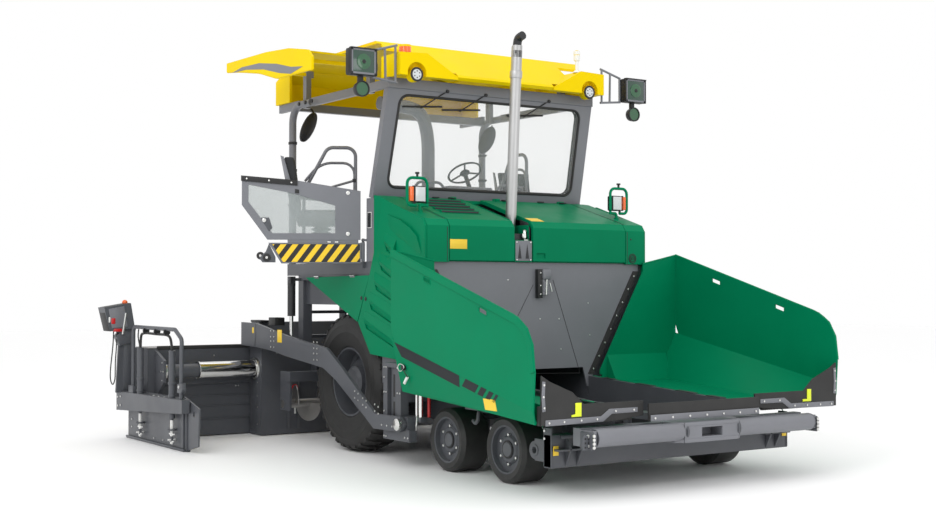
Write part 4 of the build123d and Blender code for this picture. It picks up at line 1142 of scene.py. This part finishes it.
class PAVER_OT_wings(bpy.types.Operator):
    """Bands, blank labels, lift-pin cords and hinge covers of the hopper wings"""

    bl_idname = "paver.wings"
    bl_label = "Hopper wings"

    def execute(self, context):
        for name, side in SIDES.items():
            body = f"wing_{name}"

            def slanted(x0, x1, top, low, lean=40):
                """A parallelogram under the crease line."""
                return [
                    (x0 + lean, crease_z(x0 + lean) - top), (x1 + lean, crease_z(x1 + lean) - top),
                    (x1 - lean, crease_z(x1 - lean) - low), (x0 - lean, crease_z(x0 - lean) - low)]
            first = [
                (1578, 1104), (2560, crease_z(2560) - 3), (2530, crease_z(2530) - 104),
                (1652, crease_z(1652) - 104)]
            parts = clad("band_dark", on_wing(first, side))
            for x0, x1 in ((2612, 2790), (2826, 2896), (2934, 2990), (3022, 3052)):
                parts += clad("band_dark", on_wing(slanted(x0, x1, 2, 82), side))
            done(f"wing_band_{name}", parts, body)
            parts = clad(
                "label_yellow", on_wing([(2860, 716), (3030, 716), (3030, 628), (2860, 628)], side))
            done(f"wing_label_{name}", parts, body)

            ring = tube(
                [
                    (1615, side * 1602, 925), (1588, side * 1602, 890), (1618, side * 1598, 856),
                    (1670, side * 1600, 874), (1702, side * 1602, 902), (1668, side * 1602, 920)], 4, 30,
                closed=True)
            plug = bar((1670, side * 1582, 894), (1670, side * 1604, 894), 26, 16)
            done(
                f"wing_pin_ring_{name}", [painted(ring, "zinc"), painted(plug, "moulded_black")], body)
            pin = done(
                f"wing_pin_{name}",
                [
                    painted(
                        bar((1730, side * 1590, 816), (1672, side * 1584, 762), 13, 16, bevel=3),
                        "white_plastic")], body)
            hang = [
                (1680, side * 1604, 888), (1698, side * 1608, 872), (1712, side * 1606, 856),
                (1724, side * 1600, 838), (1730, side * 1590, 816)]
            free_cord(f"wing_pin_cord_{name}", hang, 4, body)
            rims = []
            for x, z in ((2030, 1660), (2830, 1420)):
                corners = [
                    (x, side * 1622, z), (x + 110, side * 1622, z - 33), (x + 110, side * 1622, z - 75),
                    (x, side * 1622, z - 42)]
                rims += clad("green_gloss", tube(corners, 5, 12, closed=True))
            lip = [(1520, 1886), (3330, 1346), (3448, 1266), (3516, 1149), (3540, 955)]
            rims += clad("green_gloss", tube([(x, side * 1622, z) for x, z in lip], 10, 90))
            back = tube([(1524, side * 1612, 1880), (1524, side * 1195, 1795)], 9, 30)
            rims += clad("green_gloss", back)
            done(f"wing_rims_{name}", rims, body)

            parts = []
            pads = ((1640, 1800), (2110, 2330), (2640, 2860), (3020, 3195))
            strips = ((1470, 1638), (1802, 2108), (2332, 2638), (2862, 3018))
            for spans, coat, inner, thick in (
                (pads, "black_satin", 580, 6), (strips, "green_gloss", 612, 4)):
                for x0, x1 in spans:
                    outline = [
                        (x, hinge_z(x) + dz)
                        for x, dz in ((x0, 0.5), (x1, 0.5), (x1, thick), (x0, thick))]
                    parts += clad(coat, plate(outline, "y", side * inner, side * 640, bevel=1))
            done(f"hinge_cover_{name}", parts, "tractor")
        return {"FINISHED"}


class PAVER_OT_aprons(bpy.types.Operator):
    """Clamp strips with their bolts, and reflectors, on the rubber aprons"""

    bl_idname = "paver.aprons"
    bl_label = "Aprons"

    def execute(self, context):
        for name, side in SIDES.items():
            front = 3562
            strip = [
                (1540, 556), (1540, 600), (1020, 604), (940, 655), (660, 655), (660, 618), (915, 616),
                (1000, 562)]
            parts = clad("grey_satin", plate([(side * y, z) for y, z in strip], "x", front, front + 5))
            edge = [(1538, 665), (1568, 660), (1575, 770), (1568, 884), (1540, 880), (1546, 770)]
            parts += clad("grey_satin", plate([(side * y, z) for y, z in edge], "x", front, front + 5))
            heads = [
                (1508, 578), (1370, 580), (1210, 582), (1060, 583), (880, 636), (700, 636), (1553, 690),
                (1560, 770), (1555, 856)]
            parts += bolts([(front + 5, side * y, z) for y, z in heads], (1, 0, 0), 9, 6)
            tag = [(1208, 612), (1208, 714), (1264, 714), (1264, 632), (1300, 626), (1300, 612)]
            if side > 0:
                tag = [(1260, 612), (1260, 714), (1212, 714), (1212, 632), (1160, 632), (1160, 612)]
            parts += clad("reflector", plate([(side * y, z) for y, z in tag], "x", front + 0.4, front + 7))
            done(f"apron_strips_{name}", parts, f"wing_{name}")
        parts = clad("grey_satin", block((3623, -582, 544), (3628, 582, 594)))
        parts += bolts([(3628, y, 568) for y in range(-540, 541, 180)], (1, 0, 0), 10, 7)
        done("flap_strip", parts, "tractor")
        return {"FINISHED"}


class PAVER_OT_front(bpy.types.Operator):
    """Push bar's block and roller brackets, and the bumper's lugs, gussets and blank labels"""

    bl_idname = "paver.front"
    bl_label = "Front"

    def execute(self, context):
        parts = []
        for z0, z1 in ((368, 398), (494, 524)):
            deck = [(3520, -370), (3520, 370), (3640, 350), (3694, 270), (3694, -270), (3640, -350)]
            parts += clad("grey_satin", plate(deck, "z", z0, z1, bevel=5))
        for y in (-250, -116, 116, 250):
            parts += clad("grey_satin", block((3560, y - 8, 398), (3688, y + 8, 494), bevel=2))
        for side in SIDES.values():
            parts += clad(
                "dark_satin",
                spun(
                    [(60, 0), (69, 4), (69, 22), (60, 26)], (3635, side * 274, 454), steps=36),
                spun([(20, 0), (66, 0), (66, 14), (20, 18)], (3635, side * 1152, 454), steps=36),
                block((3540, side * 1186, 372), (3690, side * 1202, 500), bevel=6))
            bracket = [(1196, 372), (1196, 470), (1250, 486), (1262, 470), (1262, 372)]
            parts += clad("dark_satin", plate([(side * y, z) for y, z in bracket], "x", 3640, 3652))
            for z in (392, 424, 456):
                for y in (1212, 1240):
                    parts += clad(
                        "moulded_black",
                        block((3651, side * y - 7, z - 7), (3654, side * y + 7, z + 7), bevel=1))
            parts += bolts(
                [(3690, side * y, z) for y, z in ((1194, 392), (1194, 420), (1194, 448), (1194, 476))],
                (1, 0, 0), 14, 12)
            parts += bolts([(3644, side * 1202, z) for z in (400, 470)], (0, side, 0), 16, 12)
        done("push_bar_details", parts, "push_bar")

        parts = []
        for side in SIDES.values():
            end = side * 1276
            parts += clad("dark_satin", block((3190, side * 1262, 205), (3288, end, 505), bevel=4))
            gusset = [(3281, 210), (3345, 330), (3345, 360), (3281, 445)]
            for y in (1020, 1130):
                parts += clad("dark_satin", plate(gusset, "y", side * y - 8, side * y + 8))
            parts += clad(
                "dark_satin", block((3280, side * 950, 330), (3345, side * 1250, 346), bevel=2),
                spun(
                    [(27, 0), (46, 0), (46, side * 5), (27, side * 5)], (3000, side * 1215, 310), steps=32))
            parts += bolts([(3210, side * 1276, z) for z in (420, 480)], (0, side, 0), 12, 8)
            parts += clad(
                "zinc",
                tube([(3215, side * 1300, 500), (3200, side * 1290, 530), (3230, side * 1270, 540)], 5, 14))
            parts.append(label((3287, side * 1206, 296), (3290, side * 1258, 368)))
        parts += clad("dark_satin", block((3281, -1190, 420), (3300, 1190, 446), bevel=3))
        done("bumper_details", parts, "tractor")
        return {"FINISHED"}


def facet(foot, ridge, face, out):
    """A sloping face on a side panel, from flush (x, z) points up to (x, z, height) points."""
    outline = foot + [(x, z) for x, z, height in reversed(ridge)]
    piece = plate(outline, "y", face - out, face + out * 0.4, bevel=0)
    raised = [(at(x, face + out * height, z)) for x, z, height in ridge]
    for vertex in piece.data.vertices:
        for corner in raised:
            near = max(abs(vertex.co.x - corner.x), abs(vertex.co.z - corner.z)) < 1e-5
            if near and abs(vertex.co.y * 1000) > abs(face):
                vertex.co.y = corner.y
    return piece


class PAVER_OT_sides(bpy.types.Operator):
    """Fender hinges, latches, the pillars' blank plates and the tow guides' cylinders, rods and bolts"""

    bl_idname = "paver.sides"
    bl_label = "Sides"

    def execute(self, context):
        for name, side in SIDES.items():
            face = side * PANEL_FACE
            parts = []
            for x in (-520, 200):
                z = 1668 + (x + 760) * 0.0094
                parts += clad(
                    "grey_satin",
                    block((x - 45, face - 6 * side, z - 14), (x + 45, face + 5 * side, z + 8), bevel=3))
                parts += clad(
                    "zinc", bar((x - 45, face + 5 * side, z + 4), (x + 45, face + 5 * side, z + 4), 7, 12))
            for x, z in ((372, 1468), (452, 1462)):
                piece = spun(
                    [(0, 0), (17, 0), (19, side * 3), (16, side * 5), (0, side * 5)], (x, face, z),
                    steps=24)
                parts += clad("moulded_black", piece)
            done(f"fender_details_{name}", parts, "tractor")
            ribs = []
            for k in range(5):
                left, low, right = 414 + 92 * k, 1276 + 179 * k, 1098 + 201 * k
                ridge = [(left, low, 2), (1000, right, 36)]
                ribs += clad(
                    "green_gloss", facet([(left + 18, low + 76), (1000, right + 92)], ridge, face, side),
                    facet([(left + 24, low - 40), (1000, right - 80)], ridge, face, side))
            cheek = [(845, 2232, 2), (1092, 2167, 20), (1257, 2098, 28), (1368, 2020, 20), (1425, 1868, 2)]
            ribs += clad(
                "green_gloss",
                facet(
                    [(880, 2110), (960, 2060), (1080, 2000), (1240, 1932), (1400, 1862)], cheek, face, side))
            done(f"panel_ribs_{name}", ribs, "tractor")
            plate_y = side * 1228
            parts = [
                painted(
                    block((428, plate_y, 2120), (500, plate_y + 3 * side, 2270), bevel=2), "white_plastic"),
                painted(
                    block((434, plate_y + 2 * side, 2127), (494, plate_y + 5 * side, 2263), bevel=2),
                    "band_dark")]
            done(f"pillar_plate_{name}", parts, "tractor")

            y = side * 1370
            parts = clad(
                "dark_satin",
                plate(
                    [(1060, 330), (1060, 870), (1160, 870), (1160, 330)], "y", y - 40 * side, y - 24 * side))
            for z0, z1 in ((410, 560), (600, 800)):
                parts += clad(
                    "moulded_black", block((1095, y - 25 * side, z0), (1125, y - 22 * side, z1), bevel=1))
            columns = (
                (978, (250, 330, 470, 640, 770, 860)), (1012, (250, 330, 640, 860)), (1205, (330, 640, 860)),
                (1245, (330, 640, 860)), (1330, (262,)), (1380, (262,)))
            heads = [(x, y, z) for x, heights in columns for z in heights]
            parts += bolts(heads, (0, side, 0), 9, 6)
            for x, r, top in ((1351, 13, 720), (1417, 20, 720)):
                parts += clad("chrome_tube", bar((x, side * 1262, 400), (x, side * 1262, top), r, 20))
                parts += clad(
                    "moulded_black",
                    bar((x, side * 1262, top - 15), (x, side * 1262, top + 60), r + 20, 20, bevel=3))
            parts += clad(
                "dark_satin", block((1300, side * 1225, 400), (1470, side * 1300, 440), bevel=4),
                block((1260, side * 1225, 740), (1470, side * 1290, 860), bevel=4))
            cap = spun(
                [(0, 0), (48, 0), (52, side * 8), (52, side * 34), (30, side * 44), (0, side * 44)],
                (1316, side * 1416, 378), steps=28)
            parts += clad(
                "zinc", cap,
                tube([(1400, side * 1300, 330), (1440, side * 1320, 380), (1420, side * 1300, 440)], 9, 20))
            done(f"tow_guide_details_{name}", parts, "tractor")
            rod_piece = bar((1452, side * 1200, 440), (1452, side * 1200, 640), 15, 16, bevel=3)
            rod_plate = block((1448, side * 1190, 630), (1462, side * 1215, 700), bevel=2)
            done(
                f"red_bar_{name}", [painted(rod_piece, "red_paint"), painted(rod_plate, "dark_satin")],
                "tractor")
            hook = tube(
                [
                    (2100, side * 1120, 560), (2190, side * 1180, 560), (2190, side * 1190, 470),
                    (2150, side * 1190, 440), (2120, side * 1190, 470)], 16, 40)
            arm = block((1980, side * 1100, 548), (2190, side * 1180, 576), bevel=4)
            done(
                f"hook_{name}", [painted(hook, "dark_satin"), painted(arm, "dark_satin")], "tractor")
        return {"FINISHED"}


class PAVER_OT_screed(bpy.types.Operator):
    """Bolts, labels and covers of the tow arms and screed, and the extensions' ribs and edges"""

    bl_idname = "paver.screed"
    bl_label = "Screed"

    def execute(self, context):
        parts = []
        for side in SIDES.values():
            y = side * ARM_FACE
            groups = (
                (-1234, 1144, 70), (-1234, 1040, 70), (-286, 1060, 70), (-286, 950, 70), (525, 637, 62),
                (673, 583, 62), (890, 543, 62))
            heads = []
            for x, z, step in groups:
                fall = 0 if x < 0 else 0.75
                heads += [
                    (x, y, z - 20), (x + step, y, z - 20 - fall * step * 0.4), (x, y, z - 80),
                    (x + step, y, z - 80 - fall * step * 0.4)]
            heads = [h for h in heads if h[2] > 330]
            parts += bolts(heads, (0, side, 0), 9, 6)
            parts += bolts([(x, y, 350) for x in (1010, 1100, 1190, 1260)], (0, side, 0), 9, 6)
            parts += clad(
                "dark_satin",
                plate(
                    [(-930, 1040), (-930, 1070), (-300, 1020), (-300, 990)], "y", y, y + 2 * side, bevel=0))
            parts += clad(
                "moulded_black", block((-1300, side * 1300, 1180), (-1150, side * 1412, 1262), bevel=6),
                block((-1975, side * 1200, 1200), (-1720, side * 1300, 1222), bevel=4))
            parts += clad(
                "dark_satin", block((-1640, y - 4 * side, 955), (-1600, y + 3 * side, 1190), bevel=2))
        done("arm_details", parts, "screed")
        tags = []
        for side in SIDES.values():
            y = side * ARM_FACE
            tags.append(label((-1085, y, 1012), (-985, y + 2 * side, 1140)))
            tags.append(label((-1685, y, 1090), (-1640, y + 2 * side, 1150)))
        done("arm_labels", tags, "screed")

        parts = []
        for side in SIDES.values():
            x = -1700
            # front face of the main screed: joint strips, red knob and its rod
            for y in (860, 980):
                parts += clad(
                    "dark_satin", block((x, side * y - 14, 60), (x + 14, side * y + 14, 560), bevel=3))
            parts += clad("zinc", bar((x + 30, side * 920, 220), (x + 30, side * 920, 470), 12, 16))
            parts += clad("red_paint", ball((x + 30, side * 920, 500), 34))
            parts += clad(
                "dark_satin",
                plate([(x, 600), (x + 120, 690), (x + 120, 850), (x, 900)], "y", side * 700, side * 712))
            collar = spun(
                [(98, 0), (112, 0), (116, side * 6), (112, side * 22), (98, side * 22)],
                (TUBE_X, side * 1300, TUBE_Z), steps=44)
            parts += clad("zinc", collar)
            parts += bolts([(x, side * y, z) for y in (1050, 1120) for z in (930, 870)], (1, 0, 0), 9, 6)
            parts += clad("dark_satin", block((-1960, side * 1290, 60), (-1740, side * 1302, 620), bevel=3))
            parts += bolts([(-1790, side * 1302, z) for z in (120, 300, 420, 560)], (0, side, 0), 9, 5)
        parts += clad("black_satin", block((-2002, -1290, 930), (-1960, 1290, 962), bevel=4))
        for k in range(-6, 7):
            parts += bolts([(-1990, k * 200, 945)], (-1, 0, 0), 8, 5)
        parts += clad("worn_steel", block((-2013, -1270, 372), (-1990, 1270, 396), bevel=4))
        for y in range(-1200, 1201, 400):
            parts += clad(
                "dark_satin", plate([(-2011, 372), (-1990, 372), (-1990, 300)], "y", y - 6, y + 6))
        done("screed_details", parts, "screed")

        for name, side in SIDES.items():
            parts = []
            x0, x1 = -2400, -2020
            for z, deep in ((586, 22), (427, 10), (321, 8), (183, 10)):
                parts.append(
                    painted(
                        block((x1, side * 1205, z - 7), (x1 + deep, side * 2325, z + 7), bevel=2),
                        "grey_satin" if z == 586 else "dark_satin"))
            ledge = [(x1, 640), (x1 + 26, 590), (x1 + 26, 560), (x1, 540)]
            parts += clad("dark_satin", plate(ledge, "y", side * 1210, side * 2325))
            parts += clad(
                "sheet_rubber", block((x1 - 12, side * 1205, 925), (x1 + 8, side * 2330, 962), bevel=3))
            parts += clad(
                "worn_steel", block((x0 + 5, side * 1215, 938), (x1 - 15, side * 2420, 948), bevel=2))
            parts += bolts([(x1, side * y, 520) for y in (1420, 1450)], (1, 0, 0), 8, 5)
            parts += bolts([(x1 + 1, side * 1700, 850)], (1, 0, 0), 8, 4)
            parts += bolts(
                [(x, side * 2360, z) for x, z in ((-1800, 800), (-1800, 620), (-1835, 710), (-1770, 710))],
                (0, side, 0), 8, 5)
            collar = spun(
                [(72, 0), (86, 0), (86, side * 16), (72, side * 16)], (TUBE_X, side * 2312, TUBE_Z),
                steps=40)
            parts += clad("zinc", collar)
            done(f"extension_details_{name}", parts, f"extension_{name}")
            ring = spun(
                [(91, 0), (95, 3), (95, side * -14), (91, side * -16)], (TUBE_X, side * 1960, TUBE_Z),
                steps=44)
            done(f"tube_ring_{name}", [painted(ring, "chrome_tube")], f"screed_tube_{name}")
            tag = label((-2287, side * 2360, 740), (-2133, side * 2363, 806))
            done(f"bracket_label_{name}", [tag], f"extension_{name}")
        return {"FINISHED"}


class PAVER_OT_gates(bpy.types.Operator):
    """Handles, bolts, shoe and hose of the end gates, and the side consoles' controls"""

    bl_idname = "paver.gates"
    bl_label = "End gates"

    def execute(self, context):
        for name, side in SIDES.items():
            body = f"extension_{name}"
            y = side * GATE_MIDDLE
            face = side * GATE_FACE
            parts, steel = [], []
            for x in (-1935, -1080):
                steel += clad(
                    "white_plastic", bar((x, y, 130), (x, y, 285), 16, 16),
                    bar((x - 55, y, 150), (x + 55, y, 150), 9, 12),
                    bar((x, y - 40, 96), (x, y + 40, 96), 8, 12),
                    bar((x - 40, y, 80), (x + 40, y, 80), 8, 12), ball((x, y, 66), 17))
                for z in (520, 640):
                    parts += clad("dark_satin", bar((x, y, z - 12), (x, y, z + 12), 38, 20, bevel=3))
                parts += clad("dark_satin", bar((x, y, 944), (x, y, 956), 35, 20, bevel=3))
            done(f"gate_spindles_{name}", steel, body)
            heads = [(-2480, 330), (-2480, 420), (-2400, 340), (-2400, 430)]
            parts += bolts([(x, face, z) for x, z in heads], (0, side, 0), 12, 7)
            parts += bolts(
                [
                    (x, side * 2500, z)
                    for x, z in ((-2280, 120), (-2280, 200), (-1650, 60), (-1400, 60), (-900, 60))],
                (0, side, 0), 10, 6)
            parts += bolts([(x, side * 2540, 486) for x in (-1560, -1420, -1280)], (0, 0, 1), 12, 10)
            parts += clad(
                "dark_satin", block((-2390, side * 2500, 2), (-830, side * 2528, 26), bevel=6),
                block((-905, side * 2500, 30), (-860, side * 2516, 480), bevel=3))
            pivot = [(-900, 560), (-900, 640), (-790, 655), (-770, 600), (-800, 560)]
            parts += clad("dark_satin", plate(pivot, "y", y - 22, y + 22, bevel=3))
            parts += bolts([(-846, y + 22 * side, 618)], (0, side, 0), 17, 9)
            parts += clad(
                "dark_satin", block((-2190, side * 2505, 480), (-2060, side * 2575, 560), bevel=4))
            done(f"gate_details_{name}", parts, body)

            hose = [
                (-1935, y, 950), (-1935, y, 1060), (-1880, y, 1112), (-1500, y, 1104), (-1170, y, 1108),
                (-1100, y, 1050), (-1082, y, 950)]
            free_cord(f"gate_hose_{name}", hose, 13, body)
            short = [
                (-1990, y, 1140), (-2010, y, 1080), (-1995, y, 1040), (-1980, y, 1010), (-1950, y, 950)]
            free_cord(f"gate_lead_{name}", short, 7, body)
            clips = [
                painted(bar((x - 9, y, 1132), (x + 9, y, 1132), 34, 14), "moulded_black")
                for x in (-1780, -1480, -1220)]
            done(f"gate_clips_{name}", clips, body)

            parts = []
            leg = plate(
                [(side * 2452, 500), (side * 2560, 500), (side * 2545, 1140), (side * 2470, 1140)], "x",
                -2440, -2395, bevel=4)
            parts += clad("dark_satin", leg)
            neck = plate(
                [
                    (side * 2440, 1000), (side * 2600, 960), (side * 2640, 1060), (side * 2580, 1130),
                    (side * 2440, 1150)], "x", -2470, -2370, bevel=6)
            parts += clad("dark_satin", neck)
            screen = plate(
                [(side * 2530, 1160), (side * 2700, 1145), (side * 2735, 1345), (side * 2570, 1375)], "x",
                -2341, -2337, bevel=1)
            parts += clad("grey_satin", screen)
            outline = [(2446, 1138), (2724, 1110), (2779, 1362), (2490, 1410)]
            hull = plate([(side * a, b) for a, b in outline], "x", -2538, -2342, bevel=14)
            parts += clad("moulded_black", hull)
            parts += clad("orange_lens", ball((-2440, side * 2526, 1411), 30))
            parts += clad(
                "moulded_black", block((-2470, side * 2500, 1380), (-2410, side * 2560, 1402), bevel=6))
            parts += clad(
                "red_paint", block((-2348, side * 2664, 1190), (-2332, side * 2706, 1250), bevel=5))
            parts += clad(
                "white_plastic", block((-2348, side * 2716, 1205), (-2333, side * 2734, 1262), bevel=4))
            parts += clad(
                "red_paint", block((-2380, side * 2590, 1108), (-2336, side * 2680, 1142), bevel=8))
            parts += clad("zinc", bar((-2338, side * 2550, 1302), (-2338, side * 2585, 1080), 11, 14))
            done(f"side_console_{name}", parts, body)
            route = [
                (1112, 2660), (1010, 2662), (900, 2672), (700, 2694), (600, 2692), (545, 2667), (600, 2642),
                (700, 2640), (800, 2640), (985, 2625), (1118, 2625)]
            free_cord(f"console_cable_{name}", [(-2400, side * v, z) for z, v in route], 6, body)
        return {"FINISHED"}


class PAVER_OT_stage(bpy.types.Operator):
    """Pale floor, soft lights and the camera"""

    bl_idname = "paver.stage"
    bl_label = "Stage"

    def execute(self, context):
        scene = bpy.context.scene
        clear()
        bpy.ops.mesh.primitive_plane_add(size=80, location=(0, 0, -0.001))
        floor = bpy.context.object
        floor.name = "floor"
        tree, shader = new_material("pale_floor")
        tone = ramp(tree, noise(tree, 0.8, 2.0), (0.0, 1.0), (0.985, 0.995))
        wire(tree, shader, {"Base Color": tone, "Roughness": 0.7})
        painted(floor, "pale_floor")
        world = bpy.data.worlds.new("studio")
        scene.world = world
        world.use_nodes = True
        wire(world.node_tree, world.node_tree.nodes["Background"], {"Color": (1, 1, 1, 1), "Strength": 1.0})
        for name, place, aim, size, power in (
            ("key", (5.0, -9.0, 7.5), (0.5, 0, 1.0), 5.0, 260), ("top", (0, 0, 10), (0, 0, 0), 9.0, 120),
            ("front", (11.0, 1.0, 4.0), (1.0, 0, 1.2), 4.0, 90)):
            lamp = bpy.data.lights.new(name, "AREA")
            lamp.size = size
            lamp.energy = power
            holder = bpy.data.objects.new(name, lamp)
            holder.location = place
            holder.rotation_euler = (Vector(aim) - Vector(place)).to_track_quat("-Z", "Y").to_euler()
            scene.collection.objects.link(holder)
        eye = bpy.data.cameras.new("camera")
        eye.lens = 51.96
        eye.sensor_width = 36
        holder = bpy.data.objects.new("camera", eye)
        holder.location = (11.38178 + REAR_AXLE, -7.49098, 1.55183)
        holder.rotation_euler = Vector((-0.82882, 0.55919, 0.01899)).to_track_quat("-Z", "Y").to_euler()
        scene.collection.objects.link(holder)
        scene.camera = holder
        scene.view_settings.view_transform = "Standard"
        return {"FINISHED"}


class PAVER_PT_panel(bpy.types.Panel):
    """Sizes, colours and the pieces in the order they are made"""

    bl_idname = "PAVER_PT_panel"
    bl_label = "Asphalt paver"
    bl_space_type = "VIEW_3D"
    bl_region_type = "UI"
    bl_category = "Paver"

    def draw(self, context):
        for group in (context.scene.paver_colours, context.scene.paver_sizes):
            for name in group.__annotations__:
                self.layout.prop(group, name)
        for operator in OPERATORS:
            self.layout.operator(operator.bl_idname)


OPERATORS = (
    PAVER_OT_finishes, PAVER_OT_tyres, PAVER_OT_pods, PAVER_OT_seats, PAVER_OT_lamps, PAVER_OT_roof,
    PAVER_OT_windscreen, PAVER_OT_hood, PAVER_OT_wall, PAVER_OT_wings, PAVER_OT_aprons, PAVER_OT_front,
    PAVER_OT_sides, PAVER_OT_screed, PAVER_OT_gates, PAVER_OT_stage)
CLASSES = (PaverColours, PaverSizes, *OPERATORS, PAVER_PT_panel)


def register():
    for item in CLASSES:
        bpy.utils.register_class(item)
    bpy.types.Scene.paver_colours = bpy.props.PointerProperty(type=PaverColours)
    bpy.types.Scene.paver_sizes = bpy.props.PointerProperty(type=PaverSizes)


def unregister():
    del bpy.types.Scene.paver_sizes
    del bpy.types.Scene.paver_colours
    for item in reversed(CLASSES):
        bpy.utils.unregister_class(item)


def main():
    register()
    for operator in OPERATORS:
        group, name = operator.bl_idname.split(".")
        getattr(getattr(bpy.ops, group), name)()


if __name__ == "__main__":
    main()
